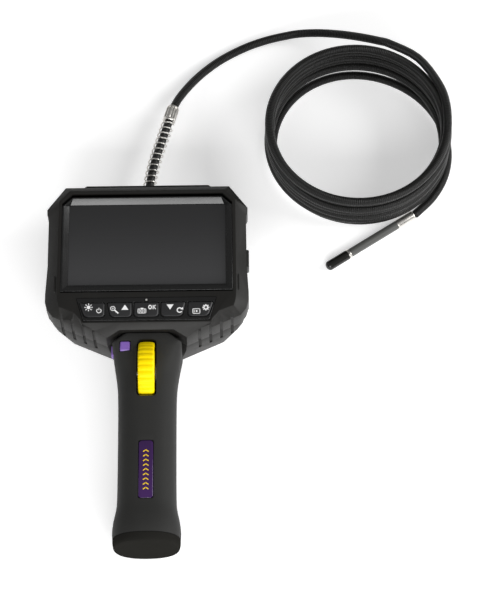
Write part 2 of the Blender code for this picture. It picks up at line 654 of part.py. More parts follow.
def make_buttons():
    """Square push buttons: a cap in the skin of the grip on a stem that meets the board."""
    x, y = FRONT_BUTTON
    front = add_box("front_button", (-BUTTON_HALF, -BUTTON_HALF, 0.0322), (BUTTON_HALF, BUTTON_HALF, 0.0356),
                    "purple", (x, y, 0))
    round_edges(front, 0.0006)
    fuse(front, add_cylinder("front_stem", 0.0010, (x, y, 0.0287), (x, y, 0.0330), segments=12))
    y, z = SIDE_BUTTON
    side = add_box("side_button", (-0.0225, -BUTTON_HALF, -BUTTON_HALF), (-0.0192, BUTTON_HALF, BUTTON_HALF),
                   "purple", (0, y, z))
    round_edges(side, 0.0006)
    fuse(side, add_cylinder("side_stem", 0.0010, (-0.0200, y, z), (-0.0179, y, z), segments=12))


# ---- steering wheel -----------------------------------------------------------------
def make_steering():
    """Ribbed wheel and its two-groove drum on one axle, in a bracket on the floor of the grip."""
    centre = Vector((0.0, WHEEL_Y, WHEEL_Z))
    frame = axis_frame(centre, (1, 0, 0))
    hub = add_empty("steering_axis", frame)
    wheel = add_loft("steering_wheel", [
        fluted_circle(WHEEL_RADIUS - inset, 0.0009, WHEEL_RIBS, x)
        for x, inset in ((-WHEEL_HALF_WIDTH, 0.0014), (-0.0034, 0.0), (0.0034, 0.0),
                         (WHEEL_HALF_WIDTH, 0.0014))], "yellow", parent=hub)
    add_turned("steering_drum", [
        (AXLE_RADIUS + GAP, 0.0091), (0.0060, 0.0091), (0.0060, 0.0086), (0.0050, 0.0080),
        (0.0060, 0.0074), (0.0060, 0.0068), (0.0050, 0.0062), (0.0060, 0.0056), (0.0060, 0.0051),
        (AXLE_RADIUS + GAP, 0.0051)], "acetal", parent=hub, segments=20)
    cut(wheel, add_cylinder("wheel_bore", AXLE_RADIUS + GAP, (-0.01, WHEEL_Y, WHEEL_Z),
                            (0.01, WHEEL_Y, WHEEL_Z)))
    add_turned("wheel_axle", [
        (0.0, 0.0121), (0.0030, 0.0121), (0.0030, 0.0108), (AXLE_RADIUS, 0.0108),
        (AXLE_RADIUS, -0.0121), (0.0, -0.0121)], "steel", parent=hub, segments=20)
    cheek, floor, top, sheet = 0.0102, 0.0056, 0.0300, 0.0009
    bracket = add_plate("wheel_bracket", [
        (floor, -cheek), (top, -cheek), (top, sheet - cheek), (floor + sheet, sheet - cheek),
        (floor + sheet, cheek - sheet), (top, cheek - sheet), (top, cheek), (floor, cheek)],
        -0.0090, 0.0080, "sheet_metal", axis_frame((0, WHEEL_Y, 0), (0, -1, 0)))
    taper = add_plate("bracket_side", [
        (0.0, -0.0110), (0.0140, -0.0110), (0.0290, -0.0040), (0.0310, -0.0040), (0.0310, 0.0040),
        (0.0290, 0.0040), (0.0140, 0.0110), (0.0, 0.0110)],
        -0.0150, 0.0150, None, axis_frame((0, WHEEL_Y, 0), (1, 0, 0)))
    add_boolean(bracket, [taper], "INTERSECT")
    cut(bracket, add_cylinder("axle_holes", AXLE_RADIUS + GAP, (-0.02, WHEEL_Y, WHEEL_Z),
                              (0.02, WHEEL_Y, WHEEL_Z), segments=20))


# ---- probe --------------------------------------------------------------------------
def make_strain_relief():
    """Gland in the head, wire spring over a thin core, and a fluted metal ferrule."""
    gland = add_turned("cable_gland", [
        (0.0, 0.1190), (0.0040, 0.1190), (0.0044, 0.1186), (0.0044, 0.1160), (0.0056, 0.1152),
        (0.0056, 0.1131), (0.0028, 0.1131), (0.0028, 0.0982), (0.0052, 0.0982), (0.0052, 0.0958),
        (0.0, 0.0958)], "steel")
    gland.matrix_world = axis_frame((0, 0, GLAND_Z), (0, 1, 0))
    add_tube("relief_core", [bezier(SPRING_PATH, i / 12) for i in range(13)], 0.00205, "cable_sheath", 1)
    steps = SPRING_TURNS * 8
    wire = []
    for i in range(steps + 1):
        t = 0.012 + 0.976 * i / steps
        along = (bezier(SPRING_PATH, t + 0.005) - bezier(SPRING_PATH, t - 0.005)).normalized()
        side = along.cross(Vector((0, 0, 1))).normalized()
        angle = 2 * math.pi * SPRING_TURNS * i / steps
        offset = side * math.cos(angle) + side.cross(along) * math.sin(angle)
        wire.append(bezier(SPRING_PATH, t) + offset * SPRING_RADIUS)
    add_tube("relief_spring", wire, SPRING_WIRE, "steel", 0)
    start, end = (Vector(point) for point in FERRULE)
    length = (end - start).length
    ferrule = add_loft("cable_ferrule", [
        fluted_circle(FERRULE_RADIUS - inset, depth, FLUTES, height) for height, inset, depth in (
            (0.0, 0.0005, 0.0), (0.0012, 0.0002, 0.0), (0.0015, 0.0, 0.0003),
            (length - 0.0015, 0.0, 0.0003), (length - 0.0012, 0.0002, 0.0), (length, 0.0004, 0.0))], "steel")
    ferrule.matrix_world = axis_frame(start, end - start)


def make_cable():
    """The free stretch of the cable, the coil that it is wound into, and its last stretch."""
    add_tube("probe_lead", LEAD_ROUTE, CABLE_RADIUS, "cable_sheath")
    inner, outer = COIL_RADII
    bevel = 0.0020
    low = COIL_FOOT_HEIGHT + GAP
    add_turned("probe_coil", [
        (inner, COIL_HEIGHT - bevel), (inner + bevel, COIL_HEIGHT), (outer - bevel, COIL_HEIGHT),
        (outer, COIL_HEIGHT - bevel), (outer, low), (inner, low)],
        "cable_sheath", (*COIL_CENTRE, 0), segments=40)
    add_turned("probe_coil_foot", [
        (inner, COIL_FOOT_HEIGHT), (COIL_FOOT_RADIUS, COIL_FOOT_HEIGHT),
        (COIL_FOOT_RADIUS, bevel), (COIL_FOOT_RADIUS - bevel, 0.0), (inner + bevel, 0.0), (inner, bevel)],
        "cable_sheath", (*COIL_CENTRE, 0), segments=40)
    add_tube("probe_tail", coil_circle(TAIL_RADIUS, *TAIL_ARC, CABLE_RADIUS + 0.0002, 6),
             CABLE_RADIUS, "cable_sheath")


def add_link_lugs(link, places, radius=0.0010):
    """Round-ended lugs beside the bore: x range, z of the pivot and z where the lug ends."""
    for low, high, pivot, root in places:
        toward = 1 if root > pivot else -1
        outline = [(radius * math.cos(a), pivot - toward * radius * math.sin(a))
                   for a in (math.pi * i / 4 for i in range(5))] + [(-radius, root), (radius, root)]
        for side in (-1, 1):
            near, far = sorted((side * low, side * high))
            frame = Matrix(((0, 0, 1, 0), (1, 0, 0, 0), (0, 1, 0, 0), (0, 0, 0, 1)))
            fuse(link, add_plate("lug", outline, near, far, None, link.matrix_world @ frame))


def make_tip():
    """Steered tip: a chain of link rings on upright pivots between the collar and the camera."""
    heading = (math.cos(TIP_HEADING), math.sin(TIP_HEADING), 0.0)
    frame = axis_frame(TIP_ORIGIN, heading)
    axis = add_empty("tip_axis", frame)
    bpy.context.view_layer.update()
    r = TIP_RADIUS
    bore = 0.0015
    inner_lug, outer_lug = (0.00100, 0.00165), (0.00195, 0.00250)

    collar = add_turned("tip_collar", [
        (0.0, 0.0016), (r, 0.0016), (r, 0.0), (0.0029, -0.0002), (0.0029, -COLLAR_LENGTH + 0.0003),
        (0.0026, -COLLAR_LENGTH), (0.0, -COLLAR_LENGTH)], "steel", parent=axis, segments=16)
    bpy.context.view_layer.update()
    add_link_lugs(collar, [(*inner_lug, FIRST_PIVOT, 0.0010)])

    for number in range(1, LINK_COUNT + 1):
        link = add_turned(f"bend_link_{number}", [
            (bore, 0.0052), (r, 0.0052), (r, 0.0008), (bore, 0.0008)], "sheet_metal",
            (0, 0, FIRST_PIVOT + (number - 1) * LINK_PITCH), axis, segments=14)
        bpy.context.view_layer.update()
        clearance = 0.0013
        place = link.matrix_world
        ends = ((outer_lug[0] - 0.0002, 0.0040, LINK_PITCH), (0.0, inner_lug[1] + 0.0002, 0.0))
        for low, high, pivot in ends:
            for side in (-1, 1):
                cut(link, add_cylinder(
                    "lug_relief", clearance, place @ Vector((side * low, 0, pivot)),
                    place @ Vector((side * high, 0, pivot)), segments=8))
        add_link_lugs(link, [(*outer_lug, 0.0, 0.0015), (*inner_lug, LINK_PITCH, 0.0045)])

    front = FIRST_PIVOT + LINK_COUNT * LINK_PITCH
    ring_start, ring_end = (place - front for place in RING_PLACE)
    ring = add_turned("front_collar", [
        (0.0, ring_end), (0.0029, ring_end), (0.0031, ring_end - 0.0002), (0.0031, ring_start + 0.0002),
        (0.0029, ring_start), (r, ring_start), (r, 0.0012), (0.0, 0.0012)], "steel",
        (0, 0, front), axis, segments=20)
    bpy.context.view_layer.update()
    add_link_lugs(ring, [(*outer_lug, 0.0, 0.0020)])

    make_camera(axis)


def make_camera(axis):
    """Camera barrel with its lens and ring of lights, under a pull-off rubber cap."""
    start = RING_PLACE[1] + GAP
    add_turned("camera_barrel", [
        (0.0, BARREL_END - 0.0012), (0.0011, BARREL_END - 0.0012), (0.0011, BARREL_END),
        (0.0020, BARREL_END), (0.0023, BARREL_END - 0.0003), (0.0023, start), (0.0, start)],
        "gloss_black", parent=axis, segments=20)
    add_turned("camera_lens", [
        (0.0, BARREL_END + 0.0001), (0.0005, BARREL_END), (0.0008, BARREL_END - 0.0003),
        (0.0008, BARREL_END - 0.0009), (0.0, BARREL_END - 0.0009)], "display", parent=axis, segments=16)
    add_turned("light_ring", [
        (0.0012, BARREL_END + 0.0006), (0.0019, BARREL_END + 0.0006), (0.0019, BARREL_END + 0.0003),
        (0.0012, BARREL_END + 0.0003)], "light_pipe", parent=axis, segments=16)
    cap_start, dome = start, 0.0031
    profile = [(dome * math.sin(a), CAP_END - dome * 0.75 * (1 - math.cos(a)))
               for a in (math.radians(15 * i) for i in range(7))]
    profile += [(dome, cap_start), (0.0026, cap_start), (0.0026, BARREL_END + 0.0008),
                (0.0, BARREL_END + 0.0012)]
    add_turned("lens_cap", profile, "seal_rubber", parent=axis, segments=20)


# ---- assembly -----------------------------------------------------------------------
def main():
    clear_scene()
    make_front_shell()
    make_rear_shell()
    for number, (x, y) in enumerate(SCREW_PLACES, 1):
        add_screw(f"rear_screw_{number}", x, y, 0.0200)
    make_gasket()
    make_screen()
    make_boards()
    make_keys()
    make_port_cover()
    make_grip()
    for number, (x, y) in enumerate(GRIP_SCREW_PLACES, 1):
        add_screw(f"grip_screw_{number}", x, y, 0.0140)
    make_base_cap()
    make_grip_inside()
    make_buttons()
    make_steering()
    make_strain_relief()
    make_cable()
    make_tip()


main()
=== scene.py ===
# %% [markdown]
# # Hand-held inspection camera
#
# The instrument lies on its back: a dark armoured head with a screen and five keys, a soft-touch
# grip with a yellow steering wheel, and a probe on a coiled cable. The solids of the design are
# loaded as a fixed frame. This lesson gives each of them its fine shape and its finish.

import json
import math

import bmesh
import bpy
from mathutils import Matrix, Vector

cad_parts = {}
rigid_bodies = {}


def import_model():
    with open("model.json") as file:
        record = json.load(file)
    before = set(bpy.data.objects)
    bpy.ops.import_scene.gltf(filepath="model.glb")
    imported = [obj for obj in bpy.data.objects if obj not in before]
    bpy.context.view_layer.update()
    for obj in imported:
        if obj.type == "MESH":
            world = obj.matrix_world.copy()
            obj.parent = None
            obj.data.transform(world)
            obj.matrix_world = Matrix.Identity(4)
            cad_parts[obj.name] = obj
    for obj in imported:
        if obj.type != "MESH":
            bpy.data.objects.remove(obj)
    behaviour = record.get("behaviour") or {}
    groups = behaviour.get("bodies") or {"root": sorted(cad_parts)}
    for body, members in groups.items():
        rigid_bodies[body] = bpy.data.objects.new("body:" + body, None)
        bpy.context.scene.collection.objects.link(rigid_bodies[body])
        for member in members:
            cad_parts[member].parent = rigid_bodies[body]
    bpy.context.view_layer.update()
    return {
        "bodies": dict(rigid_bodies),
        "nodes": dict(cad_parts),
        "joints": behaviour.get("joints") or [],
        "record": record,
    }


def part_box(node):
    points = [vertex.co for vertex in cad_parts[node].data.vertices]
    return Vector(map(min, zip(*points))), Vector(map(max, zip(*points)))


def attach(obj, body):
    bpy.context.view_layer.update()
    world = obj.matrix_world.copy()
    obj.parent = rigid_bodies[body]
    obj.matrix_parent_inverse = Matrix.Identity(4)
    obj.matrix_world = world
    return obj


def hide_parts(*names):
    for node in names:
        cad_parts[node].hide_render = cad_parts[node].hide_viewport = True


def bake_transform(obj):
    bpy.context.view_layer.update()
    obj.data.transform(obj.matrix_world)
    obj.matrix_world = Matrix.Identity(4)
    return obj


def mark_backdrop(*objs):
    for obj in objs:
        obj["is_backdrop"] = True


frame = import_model()
nodes = frame["nodes"]
home = {node: body for body, group in frame["record"]["behaviour"]["bodies"].items() for node in group}

# %% [markdown]
# ## The camera
#
# A long lens from about a metre and a third away, tilted 25 degrees from straight down. A long
# lens keeps the sides of the head almost parallel.

# %% The camera
camera_data = bpy.data.cameras.new("camera")
camera_data.sensor_fit = "HORIZONTAL"
camera_data.sensor_width = 36.0
camera_data.lens = 154.1
camera = bpy.data.objects.new("camera", camera_data)
camera.location = (0.0545, -0.5056, 1.2049)
camera.rotation_euler = (math.radians(25.0), 0.0, math.radians(-0.8))
bpy.context.scene.collection.objects.link(camera)
bpy.context.scene.camera = camera
bpy.context.scene.view_settings.view_transform = "Standard"
print("camera: lens", camera_data.lens, "mm")

# %% [markdown]
# ## Nodes written as sums
#
# A material or a Geometry Nodes tree is a graph. Written out node by node it is long and hard to
# read, so one class adds nodes and another wraps an output socket and overloads the operators:
# `1 - mask` adds a Math node, and reads like arithmetic.

# %% Graph helpers
class Value:
    """An output socket that takes part in sums."""

    def __init__(self, graph, socket):
        self.graph = graph
        self.socket = socket

    def maths(self, operation, *terms):
        return self.graph.node("ShaderNodeMath", {"operation": operation}, dict(enumerate(terms)))

    def __add__(self, other):
        return self.maths("ADD", self, other)

    def __sub__(self, other):
        return self.maths("SUBTRACT", self, other)

    def __rsub__(self, other):
        return self.maths("SUBTRACT", other, self)

    def __mul__(self, other):
        return self.maths("MULTIPLY", self, other)

    __radd__ = __add__
    __rmul__ = __mul__

    def sine(self):
        return self.maths("SINE", self)

    def cosine(self):
        return self.maths("COSINE", self)

    def size(self):
        return self.maths("ABSOLUTE", self)

    def rise(self, low, high):
        """0 below low, 1 above high, and a smooth rise between them."""
        return self.graph.node(
            "ShaderNodeMapRange", {"interpolation_type": "SMOOTHSTEP"},
            {"Value": self, "From Min": low, "From Max": high})


class Graph:
    """A node tree, and the one method that adds any node to it."""

    def __init__(self, tree):
        self.tree = tree

    def feed(self, socket, value):
        if isinstance(value, Value):
            self.tree.links.new(value.socket, socket)
        else:
            socket.default_value = value

    def node(self, kind, settings=None, sockets=None, output=0):
        node = self.tree.nodes.new(kind)
        for key, value in (settings or {}).items():
            setattr(node, key, value)
        for key, value in (sockets or {}).items():
            self.feed(node.inputs[key], value)
        return Value(self, node.outputs[output])


# %% [markdown]
# ## Finishes
#
# Every finish starts from a Principled shader with its fixed values. What varies over the
# surface is added after that: a cloud of slightly different tone, a fine moulded grain, brushed
# lines. The grain is tied to Object coordinates in metres, so its size is real on each piece.

# %% The Finish class
class Finish(Graph):
    """A material whose shader sockets can be set to plain values or to sums."""

    def __init__(self, name, colour, roughness, metallic=0.0, **fixed):
        self.material = bpy.data.materials.new(name)
        self.material.use_nodes = True
        super().__init__(self.material.node_tree)
        self.shader = self.tree.nodes["Principled BSDF"]
        self.colour = colour
        self.set("Base Color", (*colour, 1.0))
        self.set("Roughness", roughness)
        self.set("Metallic", metallic)
        for key, value in fixed.items():
            self.set(key.replace("_", " "), value)

    def set(self, name, value):
        self.feed(self.shader.inputs[name], value)

    def place(self):
        return self.node("ShaderNodeTexCoord", output="Object")

    def across(self, axis):
        return self.node("ShaderNodeSeparateXYZ", sockets={0: self.place()}, output=axis)

    def noise(self, scale, detail=2.0, stretch=(1.0, 1.0, 1.0)):
        place = self.node("ShaderNodeMapping", sockets={"Vector": self.place(), "Scale": stretch})
        return self.node("ShaderNodeTexNoise", sockets={"Vector": place, "Scale": scale, "Detail": detail})

    def shade(self, factor, *shares):
        """The base colour, times the first share where factor is 0 and the second where it is 1."""
        first, second = ([part * share for part in self.colour] + [1.0] for share in shares)
        return self.mixed(factor, first, second)

    def mixed(self, factor, first, second):
        return self.node("ShaderNodeMix", {"data_type": "RGBA"}, {0: factor, 6: first, 7: second}, 2)

    def bump(self, height, depth):
        self.set("Normal", self.node("ShaderNodeBump", sockets={"Height": height, "Distance": depth}))


def moulded(name, colour, roughness, grain, depth, tone=0.12, **fixed):
    """Plastic or rubber from a textured mould: grain in marks per metre, depth in metres."""
    finish = Finish(name, colour, roughness, **fixed)
    cloud = finish.noise(45.0, 3.0)
    marks = finish.noise(grain, 3.0)
    finish.set("Base Color", finish.shade(cloud, 1.0 - tone, 1.0 + tone))
    finish.set("Roughness", roughness + (cloud - 0.5) * 0.16 + (marks - 0.5) * 0.12)
    finish.bump(marks, depth)
    return finish


def worked_metal(name, colour, roughness, stretch, depth=0.00002):
    """Metal with fine tool marks drawn out along one direction."""
    finish = Finish(name, colour, roughness, 1.0)
    cloud = finish.noise(220.0, 3.0)
    lines = finish.noise(2500.0, 2.0, stretch)
    finish.set("Base Color", finish.shade(cloud, 0.82, 1.08))
    finish.set("Roughness", roughness + (lines - 0.5) * 0.2 + (cloud - 0.5) * 0.1)
    finish.bump(lines, depth)
    return finish


# %% Moulded and metal finishes
finishes = {
    "armour": moulded("armour", (0.014, 0.0135, 0.0125), 0.46, 2600.0, 0.00005, Specular_IOR_Level=0.21),
    "gloss_black": moulded("gloss_black", (0.008, 0.008, 0.008), 0.26, 5000.0, 0.000006),
    "cap_black": moulded("cap_black", (0.016, 0.0155, 0.014), 0.40, 5000.0, 0.000006, Specular_IOR_Level=0.0),
    "soft_grip": moulded("soft_grip", (0.027, 0.027, 0.026), 0.58, 4200.0, 0.00003, Specular_IOR_Level=0.09),
    "key_rubber": moulded("key_rubber", (0.017, 0.017, 0.018), 0.46, 5200.0, 0.00002),
    "seal_rubber": moulded("seal_rubber", (0.014, 0.014, 0.013), 0.42, 3800.0, 0.00003),
    "cap_rubber": moulded("cap_rubber", (0.006, 0.006, 0.005), 0.26, 900.0, 0.00003),
    "sleeve_rubber": moulded("sleeve_rubber", (0.075, 0.076, 0.072), 0.40, 3000.0, 0.00002),
    "yellow": moulded("yellow", (1.0, 0.74, 0.0), 0.48, 4600.0, 0.00002, 0.03, Specular_IOR_Level=0.12),
    "purple": moulded("purple", (0.215, 0.115, 0.44), 0.34, 4600.0, 0.00001, 0.06),
    "badge": moulded("badge", (0.040, 0.012, 0.080), 0.20, 4600.0, 0.00001, 0.10),
    "acetal": moulded("acetal", (0.66, 0.66, 0.64), 0.42, 3000.0, 0.00001, 0.04),
    "battery_sleeve": moulded("battery_sleeve", (0.030, 0.110, 0.300), 0.34, 900.0, 0.00002, 0.06),
    "light_pipe": moulded("light_pipe", (0.42, 0.42, 0.40), 0.30, 3000.0, 0.00001, 0.04),
    "symbol_paint": moulded("symbol_paint", (0.88, 0.88, 0.88), 0.55, 5000.0, 0.00001, 0.03),
    "yellow_paint": moulded("yellow_paint", (0.86, 0.56, 0.02), 0.45, 5000.0, 0.00001, 0.05),
    "steel": worked_metal("steel", (0.76, 0.74, 0.70), 0.30, (1.0, 0.08, 1.0)),
    "sheet_metal": worked_metal("sheet_metal", (0.50, 0.50, 0.49), 0.40, (0.05, 1.0, 1.0)),
}
print("finishes:", len(finishes))

# %% [markdown]
# ## The display and the boards
#
# A dark display is a black sheet under polished acrylic, with dots far too fine to see, and its gloss
# comes from the coat. Its colour is painted lighter towards the lower edge of the screen, a painted
# reflection of the light in front. The boards inside are solder mask with copper tracks under it.

# %% Display and board finishes
def display_finish():
    finish = Finish("display", (0.012, 0.012, 0.0125), 0.16, Coat_Weight=0.6, Coat_Roughness=0.05)
    smears = finish.noise(30.0, 4.0, (1.0, 0.4, 1.0))
    # Painted reflection: the colour is 3.4 times the base at the screen's lower edge and 1.3 times at its top
    height = finish.across("Y").rise(0.044, 0.102)
    finish.set("Base Color", finish.shade(height, 3.4, 1.3))
    finish.set("Roughness", 0.13 + smears * 0.10)
    return finish


def board_finish():
    finish = Finish("circuit_board", (0.010, 0.095, 0.040), 0.42)
    tracks = finish.node("ShaderNodeTexBrick", sockets={
        "Vector": finish.place(), "Scale": 300.0, "Mortar Size": 0.06, "Color1": (0.0, 0.0, 0.0, 1.0),
        "Color2": (0.1, 0.1, 0.1, 1.0), "Mortar": (1.0, 1.0, 1.0, 1.0)}, output="Fac")
    finish.set("Base Color", finish.mixed(tracks, (0.010, 0.085, 0.036, 1.0), (0.05, 0.20, 0.07, 1.0)))
    finish.set("Roughness", 0.45 - tracks * 0.12)
    finish.bump(tracks, 0.00003)
    return finish


finishes["display"] = display_finish()
finishes["circuit_board"] = board_finish()

# %% [markdown]
# ## The cable's sheath
#
# The sheath is a black plastic skin over a steel spiral: fine rings, about one each millimetre,
# with a shine on their crowns. Half a millimetre of ring would cost a million faces on almost
# three metres of cable, so the rings are in the material, and follow an attribute that holds the
# distance along the cable. Besides their bump, the rings carry a painted highlight on each crown
# and painted shade in each groove.

# %% Sheath finish
def sheath_finish(pitch=0.00115):
    finish = Finish("cable_sheath", (0.009, 0.009, 0.0085), 0.36, Specular_IOR_Level=0.22)
    along = finish.node("ShaderNodeAttribute", {"attribute_name": "along"}, output="Fac")
    rings = (along * (2.0 * math.pi / pitch)).sine() * 0.5 + 0.5
    scuffs = finish.noise(160.0, 4.0)
    # Painted highlight and painted shade: ring crowns up to 1.55 times the base colour, grooves down to 0.30,
    # with a little random scuff tone mixed in
    finish.set("Base Color", finish.shade(rings * 0.75 + scuffs * 0.25, 0.30, 1.55))
    finish.set("Roughness", 0.50 - rings * 0.22 + (scuffs - 0.5) * 0.15)
    finish.bump(rings, 0.00030)
    return finish


finishes["cable_sheath"] = sheath_finish()

# %% [markdown]
# ## Pieces
#
# A finished piece is one mesh whose object stays at the origin. It rides on the body of the solid
# that it stands for, and hides that solid. Three ways of making a mesh cover nearly all pieces:
# a profile turned about an axis, a skin over sections, and a copy of a solid with its edges
# rounded.

# %% Piece helpers
def shade(mesh, angle=32.0):
    """Smooth shading, with an edge left sharp where its faces meet at more than the angle."""
    mesh.shade_smooth()
    mesh.set_sharp_from_angle(angle=math.radians(angle))
    return mesh


def add_piece(name, bm, finish, angle=32.0):
    mesh = bpy.data.meshes.new(name)
    bm.to_mesh(mesh)
    bm.free()
    mesh.materials.append(finishes[finish].material)
    piece = bpy.data.objects.new(name, shade(mesh, angle))
    bpy.context.scene.collection.objects.link(piece)
    return piece


def applied(piece, angle=32.0):
    """Turn a piece with modifiers into a plain mesh."""
    bpy.context.view_layer.update()
    evaluated = piece.evaluated_get(bpy.context.evaluated_depsgraph_get())
    mesh = bpy.data.meshes.new_from_object(evaluated)
    piece.modifiers.clear()
    piece.data = shade(mesh, angle)
    return piece


def stand_for(piece, *solids, slot=None):
    """The piece rides on the body of the first solid, and is shown in place of all of them."""
    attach(piece, home[solids[0]])
    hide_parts(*solids)
    return piece


def axis_frame(origin, direction, side=(0, 0, 1)):
    """A frame with Z along the direction and X as near to side as it can be."""
    z = Vector(direction).normalized()
    y = z.cross(Vector(side)).normalized()
    x = y.cross(z)
    placed = Matrix((x, y, z)).transposed().to_4x4()
    placed.translation = origin
    return placed


slots = {entry["node"]: entry["material_slot"] for entry in frame["record"]["subparts"]}

# %% Turned pieces
def rounded(profile, radius, steps=3):
    """The profile with each inner corner replaced by a short curve."""
    points = [Vector(point) for point in profile]
    smooth = [points[0]]
    for before, corner, after in zip(points, points[1:], points[2:]):
        start = corner + (before - corner).normalized() * min(radius, (before - corner).length * 0.45)
        end = corner + (after - corner).normalized() * min(radius, (after - corner).length * 0.45)
        for i in range(steps + 1):
            t = i / steps
            smooth.append(start * (1 - t) ** 2 + corner * 2 * t * (1 - t) + end * t * t)
    return smooth + [points[-1]]


def turned(name, profile, placed, finish, segments=48, flutes=0, depth=None):
    """A profile of radius and height, turned about the frame's Z. depth(height) cuts flutes."""
    bm = bmesh.new()
    rings = []
    for radius, height in profile:
        groove = depth(height) if depth else 0.0
        ring = []
        for i in range(segments):
            angle = 2 * math.pi * i / segments
            r = radius - groove * (0.5 - 0.5 * math.cos(flutes * angle))
            ring.append(bm.verts.new(placed @ Vector((r * math.cos(angle), r * math.sin(angle), height))))
        rings.append(ring)
    for lower, upper in zip(rings, rings[1:]):
        for i in range(segments):
            bm.faces.new((lower[i - 1], lower[i], upper[i], upper[i - 1]))
    bmesh.ops.remove_doubles(bm, verts=bm.verts, dist=1e-6)
    bmesh.ops.recalc_face_normals(bm, faces=bm.faces)
    return add_piece(name, bm, finish)


# %% Lofts, cuts and rounded copies
def loft(name, sections, finish):
    """A closed skin over sections with the same number of points."""
    bm = bmesh.new()
    rings = [[bm.verts.new(point) for point in section] for section in sections]
    for lower, upper in zip(rings, rings[1:]):
        for i in range(len(lower)):
            bm.faces.new((lower[i - 1], lower[i], upper[i], upper[i - 1]))
    bm.faces.new(rings[0])
    bm.faces.new(rings[-1])
    bmesh.ops.recalc_face_normals(bm, faces=bm.faces)
    return add_piece(name, bm, finish)


def box(low, high):
    bm = bmesh.new()
    size = Vector(high) - Vector(low)
    centre = (Vector(high) + Vector(low)) / 2
    bmesh.ops.create_cube(bm, matrix=Matrix.Translation(centre) @ Matrix.Diagonal((*size, 1.0)))
    return add_piece("cutter", bm, "armour")


def prism(outline, low, high):
    """A closed block over an outline in X and Y."""
    return loft("cutter", [[(x, y, z) for x, y in outline] for z in (low, high)], "armour")


def shaped(piece, cutters, operation="DIFFERENCE"):
    """Cut the cutters out of the piece, or join or intersect with them, and remove them."""
    for cutter in cutters:
        boolean = piece.modifiers.new("shape", "BOOLEAN")
        boolean.object = cutter
        boolean.operation = operation
    applied(piece)
    for cutter in cutters:
        bpy.data.objects.remove(cutter, do_unlink=True)
    return piece


def ease_edges(bm, radius, segments=2, angle=30.0, flat=0.6):
    """Round every edge whose faces meet at more than the angle."""
    bmesh.ops.remove_doubles(bm, verts=bm.verts, dist=2e-6)
    bmesh.ops.dissolve_limit(bm, angle_limit=math.radians(flat), verts=bm.verts, edges=bm.edges)
    hard = [edge for edge in bm.edges
            if edge.is_manifold and edge.calc_face_angle(0.0) > math.radians(angle)]
    box_low = [min(vert.co[i] for vert in bm.verts) for i in range(3)]
    box_high = [max(vert.co[i] for vert in bm.verts) for i in range(3)]
    bmesh.ops.bevel(bm, geom=hard, offset=radius, segments=segments, profile=0.6, affect="EDGES",
                    clamp_overlap=True)
    for vert in bm.verts:
        vert.co = [min(max(part, low), high) for part, low, high in zip(vert.co, box_low, box_high)]
    return bm


def eased_copy(solid, radius, finish=None, segments=2, angle=30.0):
    """A copy of a solid of the frame with its edges rounded."""
    bm = bmesh.new()
    bm.from_mesh(nodes[solid].data)
    ease_edges(bm, radius, segments, angle)
    return stand_for(add_piece(f"{solid}_shape", bm, finish or slots[solid]), solid)


# %% [markdown]
# ## The probe cable
#
# The cable leaves the ferrule, bows down to the table, climbs over the coil and winds down in
# seven turns. The free part is a list of given points. The coil is a rule: each turn is
# one cable's width lower, and neighbours lie a little inside and outside each other, as wound
# cable does. A smooth curve runs through all of it, and Geometry Nodes sweep the sheath along.

# %% The cable's route
CABLE_RADIUS = 0.00265
COIL_CENTRE = Vector((0.1317, 0.1576, 0.0))
LEAD_ROUTE = [
    (0.0152, 0.1850, 0.0111), (0.0183, 0.1920, 0.0096), (0.0230, 0.1998, 0.0079),
    (0.0288, 0.2078, 0.0062), (0.0354, 0.2152, 0.0048), (0.0438, 0.2228, 0.0037),
    (0.0538, 0.2296, 0.0030), (0.0648, 0.2352, 0.0030), (0.0760, 0.2389, 0.0037),
    (0.0868, 0.2408, 0.0052), (0.0972, 0.2412, 0.0076), (0.1090, 0.2391, 0.0116),
    (0.1206, 0.2355, 0.0160), (0.1306, 0.2311, 0.0206), (0.1396, 0.2263, 0.0252),
    (0.1478, 0.2216, 0.0292), (0.1541, 0.2170, 0.0330), (0.1711, 0.2037, 0.0373),
    (0.1828, 0.1846, 0.0384), (0.1871, 0.1690, 0.03875),
]
COIL_START = math.radians(8.0)
COIL_END = math.radians(-53.0)
COIL_TOP = 0.0387
COIL_FLOOR = 0.00285
TURNS = 7 + (COIL_START - COIL_END) / (2 * math.pi)


def smoothly(value, low, high):
    t = min(max((value - low) / (high - low), 0.0), 1.0)
    return t * t * (3 - 2 * t)


def coil_point(turn):
    """A point of the coil, after so many turns from its top."""
    angle = COIL_START - 2 * math.pi * turn
    wander = 0.0011 * math.cos(math.pi * turn) + 0.0006 * math.sin(2.3 * turn + 1.0)
    radius = 0.0556 + wander * smoothly(turn, 0.0, 0.5)
    radius += (0.0533 - radius) * smoothly(turn, 5.9, 6.4)
    radius += (0.0593 - radius) * smoothly(turn, 6.80, 7.10)
    height = COIL_TOP + (COIL_FLOOR - COIL_TOP) * turn / TURNS
    return COIL_CENTRE + Vector((radius * math.cos(angle), radius * math.sin(angle), height))


def through(points, steps):
    """Points on a smooth curve through the given points."""
    points = [Vector(point) for point in points]
    ends = [points[0] * 2 - points[1]] + points + [points[-1] * 2 - points[-2]]
    curve = []
    for a, b, c, d in zip(ends, ends[1:], ends[2:], ends[3:]):
        for i in range(steps):
            t = i / steps
            curve.append(0.5 * (2 * b + (c - a) * t + (2 * a - 5 * b + 4 * c - d) * t * t
                                + (3 * b - a - 3 * c + d) * t ** 3))
    return curve + [points[-1]]


coil_points = [coil_point(i / 24) for i in range(1, int(TURNS * 24) + 1)] + [coil_point(TURNS)]
cable_path = through(LEAD_ROUTE + coil_points, 4)
cable_length = sum((b - a).length for a, b in zip(cable_path, cable_path[1:]))
print(f"cable: {cable_length:.3f} m in {len(cable_path)} points, {TURNS:.2f} turns")

